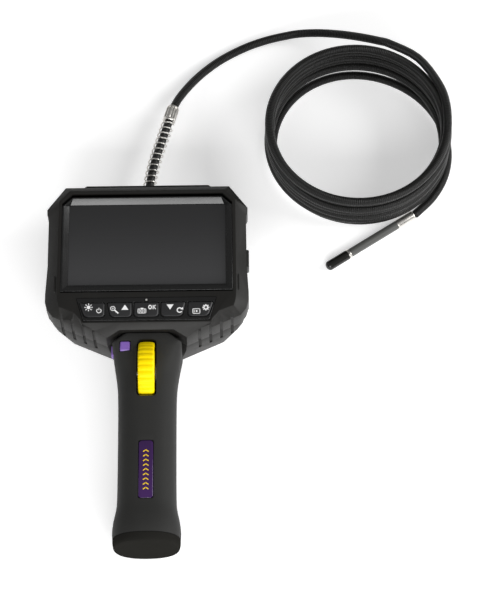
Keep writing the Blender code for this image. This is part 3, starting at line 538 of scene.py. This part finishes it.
# %% Geometry Nodes helpers
def host_curve(name, points):
    """A poly curve through the points, for a tree to work on."""
    data = bpy.data.curves.new(name, "CURVE")
    data.dimensions = "3D"
    spline = data.splines.new("POLY")
    spline.points.add(len(points) - 1)
    for target, point in zip(spline.points, points):
        target.co = (*point, 1.0)
    host = bpy.data.objects.new(name, data)
    bpy.context.scene.collection.objects.link(host)
    return host


def host_mesh(name, points):
    """Loose vertices at the points, for a tree to put things on."""
    data = bpy.data.meshes.new(name)
    data.from_pydata([tuple(point) for point in points], [], [])
    host = bpy.data.objects.new(name, data)
    bpy.context.scene.collection.objects.link(host)
    return host


class Recipe(Graph):
    """A Geometry Nodes tree with named inputs, which ends in a plain mesh with one material."""

    SOCKETS = {float: "NodeSocketFloat", int: "NodeSocketInt", bpy.types.Object: "NodeSocketObject"}

    def __init__(self, name, **inputs):
        super().__init__(bpy.data.node_groups.new(name, "GeometryNodeTree"))
        face = self.tree.interface
        face.new_socket("Geometry", in_out="INPUT", socket_type="NodeSocketGeometry")
        face.new_socket("Geometry", in_out="OUTPUT", socket_type="NodeSocketGeometry")
        self.inputs = inputs
        for key, value in inputs.items():
            face.new_socket(key, in_out="INPUT", socket_type=self.SOCKETS[type(value)])
        self.entry = self.tree.nodes.new("NodeGroupInput")

    def given(self, name):
        return Value(self, self.entry.outputs[name])

    def cook(self, host, finish, geometry):
        """End the tree, run it on the host object and keep the result as a plain mesh."""
        real = self.node("GeometryNodeRealizeInstances", sockets={0: geometry})
        painted = self.node("GeometryNodeSetMaterial", sockets={
            "Geometry": real, "Material": finishes[finish].material})
        leave = self.tree.nodes.new("NodeGroupOutput")
        self.feed(leave.inputs[0], painted)
        modifier = host.modifiers.new(self.tree.name, "NODES")
        modifier.node_group = self.tree
        for item in self.tree.interface.items_tree:
            if item.in_out == "INPUT" and item.name in self.inputs:
                modifier[item.identifier] = self.inputs[item.name]
        bpy.context.view_layer.update()
        evaluated = host.evaluated_get(bpy.context.evaluated_depsgraph_get())
        mesh = bpy.data.meshes.new_from_object(evaluated)
        name = host.name
        bpy.data.objects.remove(host, do_unlink=True)
        mesh.name = name
        piece = bpy.data.objects.new(name, shade(mesh, 60.0))
        bpy.context.scene.collection.objects.link(piece)
        return piece


# %% Sweep the cable
def sweep_cable(name, points, radius, sides):
    recipe = Recipe("sweep a sheath", Radius=radius, Sides=sides)
    measured = recipe.node("GeometryNodeStoreNamedAttribute", {"data_type": "FLOAT", "domain": "POINT"}, {
        "Geometry": recipe.given("Geometry"), "Name": "along",
        "Value": recipe.node("GeometryNodeSplineParameter", output="Length")})
    ring = recipe.node("GeometryNodeCurvePrimitiveCircle", sockets={
        "Resolution": recipe.given("Sides"), "Radius": recipe.given("Radius")})
    tube = recipe.node("GeometryNodeCurveToMesh", sockets={
        "Curve": measured, "Profile Curve": ring, "Fill Caps": True})
    return recipe.cook(host_curve(name, points), "cable_sheath", tube)


probe_cable = sweep_cable("probe_cable", cable_path, CABLE_RADIUS, 14)
stand_for(probe_cable, "probe_coil", "probe_coil_foot", "probe_lead", "probe_tail")
print("probe cable:", len(probe_cable.data.polygons), "faces")

# %% [markdown]
# ## Strain relief
#
# A coil spring over a thin black core keeps the cable from kinking at the head. The spring is a
# wire wound about a bowed line: each point of the line moves out along its normal, turned by its
# place along the line. A gland nut holds the lower end, a fluted ferrule the upper one.

# %% The relief spring
SPRING_LINE = [(0.0, 0.1193, 0.0155), (0.0006, 0.1380, 0.0158), (0.0070, 0.1550, 0.0142),
               (0.0118, 0.1724, 0.0130)]
SPRING_TURNS = 13.0


def bezier(points, t):
    a, b, c, d = (Vector(point) for point in points)
    s = 1.0 - t
    return a * s ** 3 + b * 3 * s * s * t + c * 3 * s * t * t + d * t ** 3


def wind_spring(name, line, turns, radius, wire):
    recipe = Recipe("wind a spring", Turns=turns, Radius=radius, Wire=wire)
    along = recipe.node("GeometryNodeSplineParameter", output="Factor")
    angle = along * recipe.given("Turns") * (2 * math.pi)
    normal = recipe.node("GeometryNodeInputNormal")
    tangent = recipe.node("GeometryNodeInputTangent")
    offset = recipe.node("ShaderNodeVectorRotate", {"rotation_type": "AXIS_ANGLE"}, {
        "Vector": normal, "Axis": tangent, "Angle": angle})
    reach = recipe.node("ShaderNodeVectorMath", {"operation": "SCALE"}, {
        0: offset, "Scale": recipe.given("Radius")})
    wound = recipe.node("GeometryNodeSetPosition", sockets={
        "Geometry": recipe.given("Geometry"), "Offset": reach})
    ring = recipe.node("GeometryNodeCurvePrimitiveCircle", sockets={
        "Resolution": 10, "Radius": recipe.given("Wire")})
    tube = recipe.node("GeometryNodeCurveToMesh", sockets={
        "Curve": wound, "Profile Curve": ring, "Fill Caps": True})
    points = [bezier(line, 0.012 + 0.976 * i / (turns * 24)) for i in range(int(turns * 24) + 1)]
    return recipe.cook(host_curve(name, points), "steel", tube)


SPRING_RADIUS, SPRING_WIRE = 0.00380, 0.00048
relief_wire = stand_for(
    wind_spring("relief_wire", SPRING_LINE, SPRING_TURNS, SPRING_RADIUS, SPRING_WIRE), "relief_spring")


def core_ring(share, points=24):
    """A ring of the cable where it runs on inside the spring."""
    ahead, behind = (bezier(SPRING_LINE, share + step) for step in (0.01, -0.01))
    frame = axis_frame(bezier(SPRING_LINE, share), ahead - behind)
    angles = [2 * math.pi * i / points for i in range(points)]
    return [frame @ Vector((CABLE_RADIUS * math.cos(a), CABLE_RADIUS * math.sin(a), 0.0)) for a in angles]


CORE_STEPS = 40
core_rings = [core_ring(i / CORE_STEPS) for i in range(CORE_STEPS + 1)]
relief_core = stand_for(loft("cable_in_spring", core_rings, "seal_rubber"), "relief_core")
print("relief spring:", SPRING_TURNS, "turns")

# %% Gland and ferrule
FERRULE_START = Vector((0.0119, 0.1729, 0.0130))
FERRULE_END = Vector((0.0149, 0.1842, 0.0113))
gland_frame = axis_frame((0.0, 0.0, 0.0155), (0, 1, 0))
gland_nut = turned("gland_nut", rounded([
    (0.0, 0.1190), (0.0041, 0.1190), (0.0044, 0.1162), (0.0056, 0.1152), (0.0056, 0.1131),
    (0.0028, 0.1131), (0.0028, 0.0982), (0.0052, 0.0982), (0.0052, 0.0958), (0.0, 0.0958)], 0.0003),
    gland_frame, "steel")
stand_for(gland_nut, "cable_gland")

ferrule_length = (FERRULE_END - FERRULE_START).length
ferrule = turned("fluted_ferrule", rounded([
    (0.0, 0.0), (0.0036, 0.0), (0.0041, 0.0006), (0.0041, 0.0014), (0.0038, 0.0017),
    (0.0041, 0.0020), (0.0041, 0.0060), (0.0041, ferrule_length - 0.0020), (0.0038, ferrule_length - 0.0017),
    (0.0041, ferrule_length - 0.0014), (0.0040, ferrule_length - 0.0003), (0.0, ferrule_length)], 0.0002),
    axis_frame(FERRULE_START, FERRULE_END - FERRULE_START), "steel", 112, 14,
    lambda height: 0.0005 if 0.0018 < height < ferrule_length - 0.0018 else 0.0)
stand_for(ferrule, "cable_ferrule")
print("ferrule:", round(1000 * ferrule_length, 1), "mm long")

# %% [markdown]
# ## The steered tip
#
# Behind the camera, links bend on upright pivots under a smooth rubber sleeve. The sleeve is
# made of pieces, each over one pivot, and the pieces hide the links under them.

# %% Bands, sleeve and camera
TIP_ORIGIN = Vector((0.1554, 0.1025, 0.0032))
TIP_HEADING = math.radians(212.9)
heading = Vector((math.cos(TIP_HEADING), math.sin(TIP_HEADING), 0.0))
tip_frame = axis_frame(TIP_ORIGIN, heading)
LINK_PITCH, LINKS = 0.006, 5
SLEEVE_RADIUS = 0.00275

steel_band = turned("steel_band", rounded([
    (0.0, 0.0004), (0.0026, 0.0004), (0.0030, 0.0), (0.0030, -0.0121), (0.0027, -0.0125), (0.0, -0.0125)],
    0.0003), tip_frame, "steel")
stand_for(steel_band, "tip_collar")


def sleeve_piece(number):
    """The stretch of sleeve over one pivot, open at both ends."""
    start, end = number * LINK_PITCH, (number + 1) * LINK_PITCH
    rows = 10
    profile = [(SLEEVE_RADIUS, start + (end - start) * i / rows) for i in range(rows + 1)]
    if number == 0:
        profile[:0] = [(0.0020, -0.0002), (SLEEVE_RADIUS - 0.0001, -0.0002)]
    if number == LINKS:
        profile.append((0.0020, end))
    piece = turned(f"sleeve_{number + 1}", profile, tip_frame, "sleeve_rubber", 36)
    covered = [f"bend_link_{number}"] if number else []
    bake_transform(piece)
    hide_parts(*covered)
    return piece


sleeve = [sleeve_piece(number) for number in range(LINKS + 1)]

front_ring = turned("front_ring", rounded([
    (0.0, 0.0376), (0.0029, 0.0376), (0.0031, 0.0373), (0.0031, 0.0362), (0.0029, 0.0359), (0.0, 0.0359)],
    0.0002), tip_frame, "steel")
stand_for(front_ring, "front_collar")
BARREL_END = 0.0505
barrel = turned("barrel", rounded([
    (0.0, BARREL_END - 0.0010), (0.0011, BARREL_END - 0.0010), (0.0011, BARREL_END), (0.0020, BARREL_END),
    (0.0023, BARREL_END - 0.0003), (0.0023, 0.0460), (0.0022, 0.0458), (0.0022, 0.0455), (0.0023, 0.0453),
    (0.0023, 0.0377), (0.0, 0.0377)], 0.0001), tip_frame, "gloss_black", 40)
stand_for(barrel, "camera_barrel")
lens = turned("lens", [
    (0.00085 * math.sin(a), BARREL_END - 0.0009 + 0.0010 * math.cos(a))
    for a in (math.radians(10 * i) for i in range(10))], tip_frame, "display", 32)
stand_for(lens, "camera_lens")
diffuser = turned("diffuser", rounded([
    (0.0012, BARREL_END + 0.0003), (0.0012, BARREL_END + 0.0006), (0.0019, BARREL_END + 0.0006),
    (0.0019, BARREL_END + 0.0003), (0.0012, BARREL_END + 0.0003)], 0.0001), tip_frame, "light_pipe", 32)
stand_for(diffuser, "light_ring")
CAP_END, CAP_START = 0.0537, 0.0379
dome = [(0.0031 * math.sin(a), CAP_END - 0.0031 * 0.75 * (1 - math.cos(a)))
        for a in (math.radians(9 * i) for i in range(11))]
rubber_cap = turned("rubber_cap", dome + rounded([
    dome[-1], (0.00305, 0.0440), (0.0031, CAP_START + 0.0012), (0.0031, CAP_START), (0.0026, CAP_START),
    (0.0026, BARREL_END + 0.0008)], 0.0002) + [(0.0, BARREL_END + 0.0012)], tip_frame, "cap_rubber")
stand_for(rubber_cap, "lens_cap")


# %% [markdown]
# ## The armoured head
#
# The two shells are faceted mouldings. Their solids already have the right facets, so a copy
# of each gets its edges rounded by a third of a millimetre, as a mould would leave them. The
# frame round the screen and the key panel get the same treatment with smaller radii.

# %% Shells, screen frame and cover
eased_copy("head_front_shell", 0.00030)
eased_copy("head_rear_shell", 0.00040)
frame_shape = eased_copy("screen_bezel", 0.00020)
SEAT_GAP, NEAR_RIM = 0.00028, 0.0003
frame_low, frame_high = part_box("screen_bezel")
for vert in frame_shape.data.vertices:      # the frame is pressed into its seat and shows no gap
    if abs(vert.co.x) > frame_high.x - NEAR_RIM:
        vert.co.x += math.copysign(SEAT_GAP, vert.co.x)
    if vert.co.y < frame_low.y + NEAR_RIM:
        vert.co.y -= SEAT_GAP
eased_copy("keypad_frame", 0.00018)
eased_copy("port_cover", 0.00020, "seal_rubber", 2, 20.0)


def add_bevel_rib(side):
    """A short raised rib on the flank of the face, where the edge of the screen's frame ends."""
    x, low, high = 0.0553 * side, 0.0405, 0.0515
    rib = loft(f"flank_rib_{'left' if side < 0 else 'right'}", [
        [(x - 0.0004, y, z), (x + 0.0004, y, z), (x + 0.0004, y, z + 0.0009), (x - 0.0004, y, z + 0.0009)]
        for y, z in ((low, 0.0401), (low + 0.0006, 0.0405), (high - 0.0006, 0.0405), (high, 0.0401))],
        "armour")
    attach(rib, "body")


add_bevel_rib(-1)
add_bevel_rib(1)

# %% [markdown]
# ## Keys and their symbols
#
# Five silicone keys stand proud of a glossy panel. Their symbols are white paint a twentieth of
# a millimetre thick, so each symbol is a set of flat shapes: bars, dots and bands along an arc.
# They are generic signs, drawn in millimetres about their own centres.

# %% Flat shapes
def dot(x, y, radius, count=20):
    return [[(x + radius * math.cos(2 * math.pi * i / count), y + radius * math.sin(2 * math.pi * i / count))
             for i in range(count)]]


def bar(start, end, width):
    along = (Vector(end) - Vector(start)).normalized()
    side = Vector((-along.y, along.x)) * width / 2
    return [[tuple(Vector(start) - side), tuple(Vector(end) - side),
             tuple(Vector(end) + side), tuple(Vector(start) + side)]]


def band(x, y, radius, width, start=0.0, end=360.0, stretch=1.0, count=24):
    """A strip along an arc, counted in degrees; stretch makes it taller than it is wide."""
    def point(r, i):
        angle = math.radians(start + (end - start) * i / count)
        return (x + r * math.cos(angle), y + r * stretch * math.sin(angle))
    inner, outer = radius - width / 2, radius + width / 2
    return [[point(inner, i), point(outer, i), point(outer, i + 1), point(inner, i + 1)]
            for i in range(count)]


def spokes(count, inner, outer, width):
    shapes = []
    for i in range(count):
        angle = 2 * math.pi * i / count
        toward = Vector((math.cos(angle), math.sin(angle)))
        shapes += bar(toward * inner, toward * outer, width)
    return shapes


def frame_of(half_x, half_y, width):
    corners = [(-half_x, -half_y), (half_x, -half_y), (half_x, half_y), (-half_x, half_y)]
    shapes = []
    for a, b in zip(corners, corners[1:] + corners[:1]):
        along = (Vector(b) - Vector(a)).normalized() * width / 2
        shapes += bar(Vector(a) - along, Vector(b) + along, width)
    return shapes


# %% The ten symbols
sun = dot(0, 0, 1.15) + spokes(8, 1.6, 2.5, 0.52)
power = band(0, 0, 1.35, 0.48, 125, 415) + bar((0, 0.4), (0, 1.9), 0.48)
magnifier = (band(-1.0, 1.0, 1.35, 0.42) + bar((-1.6, 1.0), (-0.4, 1.0), 0.32)
             + bar((-1.0, 0.4), (-1.0, 1.6), 0.32) + bar((0.05, -0.05), (2.3, -2.3), 0.85))
triangle_up = [[(-2.1, -1.6), (2.1, -1.6), (0.0, 1.8)]]
camera_sign = (frame_of(2.35, 1.35, 0.42) + bar((-0.8, 1.8), (0.8, 1.8), 0.5) + band(0, 0, 0.75, 0.42)
               + bar((-1.55, -1.3), (-1.55, 1.3), 0.3) + bar((1.55, -1.3), (1.55, 1.3), 0.3))
okay = (band(-1.35, 0, 0.85, 0.52, stretch=1.35) + bar((0.45, -1.4), (0.45, 1.4), 0.55)
        + bar((0.6, -0.15), (1.9, 1.35), 0.55) + bar((0.75, 0.15), (2.05, -1.35), 0.55))
triangle_down = [[(-2.1, 1.6), (0.0, -1.8), (2.1, 1.6)]]
turn_round = band(0, 0, 1.45, 0.68, 45, 325) + [[(0.45, 0.5), (2.1, 0.35), (1.95, 2.05)]]
play_box = (frame_of(2.1, 1.5, 0.42) + [[(-0.3, -0.8), (1.1, 0.0), (-0.3, 0.8)]]
            + bar((-1.3, -0.8), (-1.3, 0.8), 0.4))
gear = band(0, 0, 1.15, 0.75) + spokes(8, 1.4, 2.05, 0.75)
SYMBOLS = {
    "key_light_power": [(sun, -34.5, 29.7), (power, -28.3, 27.4)],
    "key_zoom_up": [(magnifier, -19.0, 27.8), (triangle_up, -12.8, 29.4)],
    "key_photo_ok": [(camera_sign, -2.6, 26.9), (okay, 3.6, 29.4)],
    "key_turn_down": [(triangle_down, 14.2, 29.4), (turn_round, 19.9, 27.2)],
    "key_play_menu": [(play_box, 29.9, 26.4), (gear, 35.6, 28.8)],
}


def painted(name, groups, top, finish, thickness=0.00005, scale=0.001):
    """Shapes in millimetres at their places, as paint that stands on a level surface."""
    bm = bmesh.new()
    for shapes, x, y in groups:
        for outline in shapes:
            bm.faces.new([bm.verts.new(((x + px) * scale, (y + py) * scale, top)) for px, py in outline])
    bmesh.ops.remove_doubles(bm, verts=bm.verts, dist=1e-6)
    bmesh.ops.recalc_face_normals(bm, faces=bm.faces)
    raised = bmesh.ops.extrude_face_region(bm, geom=bm.faces[:])
    lifted = [item for item in raised["geom"] if isinstance(item, bmesh.types.BMVert)]
    bmesh.ops.translate(bm, verts=lifted, vec=(0.0, 0.0, thickness))
    bmesh.ops.recalc_face_normals(bm, faces=bm.faces)
    return add_piece(name, bm, finish)


for key, groups in SYMBOLS.items():
    eased_copy(key, 0.00018, None, 2, 20.0)
    symbols = painted(f"{key}_symbols", groups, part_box(key)[1].z, "symbol_paint")
    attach(symbols, home[key])
print("keys:", len(SYMBOLS), "with", sum(len(groups) for groups in SYMBOLS.values()), "symbols")

# %% [markdown]
# ## The grip
#
# One rounded handle in two halves. Its cross-section is a superellipse that stands on the table,
# and its width, height and roundness change along its length. A smooth curve through a dozen
# design sections gives the rows, and the slot, the holes and the seat are cut afterwards.

# %% Grip skin
GRIP_SECTIONS = [
    # y, half width, height of the front, exponent of the roundness
    (0.0156, 0.0146, 0.0360, 12.0), (0.0108, 0.0208, 0.0360, 11.0), (0.0060, 0.0206, 0.0360, 5.0),
    (-0.0040, 0.0192, 0.0360, 2.8), (-0.0150, 0.0178, 0.0360, 2.6), (-0.0300, 0.0174, 0.0358, 2.6),
    (-0.0550, 0.0173, 0.0355, 2.6), (-0.0830, 0.0174, 0.0352, 2.6), (-0.0910, 0.0180, 0.0354, 2.5),
    (-0.0985, 0.0195, 0.0363, 2.4), (-0.1045, 0.0201, 0.0368, 2.3), (-0.1087, 0.0199, 0.0366, 2.3),
]
GRIP_WALL = 0.0022
PARTING = 0.0180


def grip_row(y, half_width, front, exponent, inset=0.0, points=88):
    row = []
    for i in range(points):
        angle = 2 * math.pi * (i + 0.5) / points
        across, up = math.cos(angle), math.sin(angle)
        x = math.copysign(abs(across) ** (2 / exponent), across) * (half_width - inset)
        z = math.copysign(abs(up) ** (2 / exponent), up) * (front / 2 - inset)
        row.append((x, y, front / 2 + z))
    return row


def grip_half(name, low, high):
    """One half of the handle, between two heights."""
    rows = [Vector(GRIP_SECTIONS[0])] + through(GRIP_SECTIONS[1:], 4)
    half = loft(name, [grip_row(*row) for row in rows], "soft_grip")
    hollow = loft("cutter", [grip_row(row[0] * 0.9995, *row[1:], inset=GRIP_WALL) for row in rows[2:]]
                  + [grip_row(-0.1100, *GRIP_SECTIONS[-1][1:], inset=GRIP_WALL)], "armour")
    outside = box((-0.03, -0.13, low), (0.03, 0.03, high))
    return shaped(half, [hollow, outside])


def soft_rectangle(half_x, low, high, radius, x=0.0, steps=5):
    """A rectangle with round corners, from one height in Y to another."""
    outline = []
    for sx, cy, start in ((1, high - radius, 0), (-1, high - radius, 90), (-1, low + radius, 180),
                          (1, low + radius, 270)):
        for i in range(steps + 1):
            angle = math.radians(start + 90 * i / steps)
            outline.append((x + sx * (half_x - radius) + radius * math.cos(angle),
                            cy + radius * math.sin(angle)))
    return outline


def eased(piece, radius, segments=2, angle=35.0):
    """Round the piece's own hard edges."""
    bm = bmesh.new()
    bm.from_mesh(piece.data)
    ease_edges(bm, radius, segments, angle, 0.02)
    bm.to_mesh(piece.data)
    bm.free()
    shade(piece.data)
    return piece


# %% Cut the grip
button_low, button_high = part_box("front_button")
side_low, side_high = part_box("side_button")
badge_low, badge_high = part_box("name_plate")
CLEARANCE = 0.0003
SEAT_DEPTH, SLOT_DEPTH, HOLE_DEPTH, ABOVE = 0.0341, 0.0200, 0.0260, 0.0450
grip_top = grip_half("grip_top", -0.01, PARTING + CLEARANCE / 2)
button_middle = (button_low.x + button_high.x) / 2
badge_seat = prism(soft_rectangle(
    badge_high.x + CLEARANCE, badge_low.y - CLEARANCE, badge_high.y + CLEARANCE, 0.0013), SEAT_DEPTH, 0.0400)
wheel_slot = prism(soft_rectangle(0.0059, -0.0248, 0.0115, 0.0022), SLOT_DEPTH, ABOVE)
button_hole = prism(soft_rectangle(
    0.0034, button_low.y - CLEARANCE, button_high.y + CLEARANCE, 0.0008, button_middle), HOLE_DEPTH, 0.0400)
side_hole = box((-0.030, side_low.y - CLEARANCE, side_low.z - CLEARANCE),
                (-0.0168, side_high.y + CLEARANCE, side_high.z + CLEARANCE))
shaped(grip_top, [badge_seat])
shaped(grip_top, [wheel_slot])
shaped(grip_top, [button_hole, side_hole])
stand_for(eased(grip_top, 0.00035), "grip_front")
grip_back = grip_half("grip_back", PARTING - CLEARANCE / 2, 0.05)
GRIP_SCREWS = [(-0.0085, 0.0069), (0.0085, 0.0069), (0.0, -0.0315)]
HEAD_SCREWS = [(-0.036, 0.090), (0.036, 0.090), (-0.036, 0.037), (0.036, 0.037)]
SCREW_WELL = 0.0027
shaped(grip_back, [prism(dot(x, y, SCREW_WELL, 32)[0], -0.001, 0.0040) for x, y in GRIP_SCREWS])
stand_for(eased(grip_back, 0.00030), "grip_rear")
print("grip:", len(grip_top.data.polygons), "and", len(grip_back.data.polygons), "faces")

# %% Base cap
def cap_row(share):
    """A row of the cap's rounded end: share 0 is where the grip ends, 1 its last edge."""
    inset = 0.0030 * (1 - math.sqrt(max(1 - share ** 2, 0.0)))
    y = -0.1090 - (0.1143 - 0.1090) * math.sin(share * math.pi / 2) ** 0.9
    return grip_row(y, *GRIP_SECTIONS[-1][1:], inset=inset)


CAP_STEPS, SPIGOT_INSET = 12, 0.0026
spigot = [grip_row(y, *GRIP_SECTIONS[-1][1:], inset=SPIGOT_INSET) for y in (-0.1052, -0.1089)]
base_cap = loft("base_cap", spigot + [cap_row(i / CAP_STEPS) for i in range(CAP_STEPS)], "cap_black")
shade(base_cap.data, 12.0)
stand_for(base_cap, "grip_base_cap")
print("base cap:", len(base_cap.data.polygons), "faces")

# %% [markdown]
# ## Wheel, buttons and name plate
#
# The wheel is a barrel with shallow flutes for the thumb. Its profile is turned about the axle,
# and a cosine of the angle takes the flutes away from the rim. The name plate carries a plain
# row of chevrons and no words.

# %% Steering wheel
WHEEL_CENTRE = (0.0, -0.0064, 0.0257)
WHEEL_RIBS = 30
wheel_profile = rounded([
    (0.0023, -0.0048), (0.0140, -0.0048), (0.0145, -0.0044), (0.0160, -0.0044), (0.0166, -0.0048),
    (0.0180, -0.0048), (0.0187, -0.0040), (0.0190, -0.0014), (0.0190, 0.0014), (0.0187, 0.0040),
    (0.0180, 0.0048), (0.0166, 0.0048), (0.0160, 0.0044), (0.0145, 0.0044), (0.0140, 0.0048),
    (0.0023, 0.0048), (0.0023, -0.0048)], 0.0006)


def fluted_wheel():
    """The wheel's rim: rib crowns and rounded grooves that fade towards the cheeks."""
    bm = bmesh.new()
    placed = axis_frame(WHEEL_CENTRE, (1, 0, 0))
    steps = WHEEL_RIBS * 10
    rings = []
    for radius, x in wheel_profile:
        reach = smoothly(radius, 0.0178, 0.0188)
        ring = []
        for i in range(steps):
            angle = 2 * math.pi * i / steps
            groove = (0.5 - 0.5 * math.cos(WHEEL_RIBS * angle)) ** 2 * 0.00038
            r = radius - groove * reach
            ring.append(bm.verts.new(placed @ Vector((r * math.cos(angle), r * math.sin(angle), x))))
        rings.append(ring)
    for lower, upper in zip(rings, rings[1:]):
        for i in range(steps):
            bm.faces.new((lower[i - 1], lower[i], upper[i], upper[i - 1]))
    bmesh.ops.remove_doubles(bm, verts=bm.verts, dist=1e-6)
    bmesh.ops.recalc_face_normals(bm, faces=bm.faces)
    return add_piece("thumb_wheel", bm, "yellow", 50.0)


stand_for(fluted_wheel(), "steering_wheel")

# %% Buttons and name plate
eased_copy("front_button", 0.00030, None, 3, 20.0)
side_shape = eased_copy("side_button", 0.00030, None, 3, 20.0)
SIDE_BUTTON_TRIM = 0.0009
for vert in side_shape.data.vertices:       # only a sliver of it stands out of the flank
    vert.co.x = max(vert.co.x, side_low.x + SIDE_BUTTON_TRIM)
eased_copy("name_plate", 0.00065, None, 1, 20.0)
chevrons = [(bar((-1.6, -0.9), (0.05, 0.25), 0.62) + bar((-0.05, 0.25), (1.6, -0.9), 0.62),
             0.0, 1000 * (badge_low.y + badge_high.y) / 2 + 2.9 * step) for step in range(-4, 5)]
mark = painted("name_plate_chevrons", chevrons, badge_high.z, "yellow_paint")
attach(mark, home["name_plate"])

# %% [markdown]
# ## Screws
#
# Seven pan-head screws hold the shells from behind. One screw is made, and Geometry Nodes put a
# copy on each vertex of a small host mesh.

# %% Screws at their places
def one_screw():
    head, shank = 0.0024, 0.0013
    screw = turned("screw", rounded([
        (0.0, 0.0009), (0.0017, 0.0009), (head, 0.0013), (head, 0.0024), (shank, 0.0024), (shank, 0.0130),
        (0.0, 0.0138)], 0.0002), Matrix(), "sheet_metal", 32)
    cross = [box((-0.0013, -0.0003, 0.0), (0.0013, 0.0003, 0.0016)),
             box((-0.0003, -0.0013, 0.0), (0.0003, 0.0013, 0.0016))]
    return shaped(screw, cross)


def place_copies(name, original, places, finish):
    recipe = Recipe("copies at points", Original=original)
    shape = recipe.node("GeometryNodeObjectInfo", sockets={
        "Object": recipe.given("Original")}, output="Geometry")
    copies = recipe.node("GeometryNodeInstanceOnPoints", sockets={
        "Points": recipe.given("Geometry"), "Instance": shape})
    piece = recipe.cook(host_mesh(name, places), finish, copies)
    bpy.data.objects.remove(original, do_unlink=True)
    return piece


screw_places = [(x, y, 0.0) for x, y in HEAD_SCREWS + GRIP_SCREWS]
screws = place_copies("back_screws", one_screw(), screw_places, "sheet_metal")
shade(screws.data)
stand_for(screws, *[f"rear_screw_{i}" for i in range(1, 5)], *[f"grip_screw_{i}" for i in range(1, 4)])
print("screws:", len(screw_places))

# %% [markdown]
# ## The solids that stay
#
# What lies inside, and the flat window of the screen, are right as they are. They only get the
# finish of their material slot.

# %% Finish the remaining solids
kept = [name for name, solid in nodes.items() if not solid.hide_render]
for name in kept:
    solid = nodes[name]
    solid.data.materials.clear()
    solid.data.materials.append(finishes[slots[name]].material)
print("solids shown as they are:", len(kept))

# %% [markdown]
# ## Floor and light
#
# A pale table and soft boxes. The table glows a little, so it stays white while the room is dim.
# The black plastic shows what it reflects: the faces that slope towards the hand reflect a low
# box in front, the right flank a brighter box than the left, and the flat faces reflect the
# dimmer room above, so they stay nearly black.

# %% Floor and lights
def add_floor():
    bm = bmesh.new()
    bmesh.ops.create_grid(bm, x_segments=1, y_segments=1, size=4.0)
    bmesh.ops.translate(bm, verts=bm.verts, vec=(0.0, 0.0, -0.0002))
    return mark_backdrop(add_piece("table", bm, "table"))


def add_soft_box(name, place, target, size, watts):
    data = bpy.data.lights.new(name, "AREA")
    data.shape = "RECTANGLE"
    data.size, data.size_y = size
    data.energy = watts
    lamp = bpy.data.objects.new(name, data)
    lamp.location = place
    lamp.rotation_euler = (Vector(target) - Vector(place)).to_track_quat("-Z", "Y").to_euler()
    bpy.context.scene.collection.objects.link(lamp)


WHITE = (1.0, 1.0, 1.0, 1.0)
table = Finish("table", (0.93, 0.93, 0.93), 0.85, Emission_Color=WHITE, Emission_Strength=0.42)
table.set("Base Color", table.shade(table.noise(3.0), 1.0, 0.985))
finishes["table"] = table
add_floor()
room = bpy.data.worlds.new("room")
room.use_nodes = True
room.node_tree.nodes["Background"].inputs["Color"].default_value = WHITE
room.node_tree.nodes["Background"].inputs["Strength"].default_value = 0.22
bpy.context.scene.world = room
add_soft_box("front_box", (0.1, -1.5, 0.88), (0.05, 0.0, 0.0), (1.6, 0.8), 30.0)
add_soft_box("right_box", (1.5, 0.1, 0.8), (0.05, 0.05, 0.0), (1.0, 1.0), 20.0)
add_soft_box("left_box", (-1.4, 0.2, 1.0), (0.05, 0.05, 0.0), (0.8, 0.8), 3.0)

# %% [markdown]
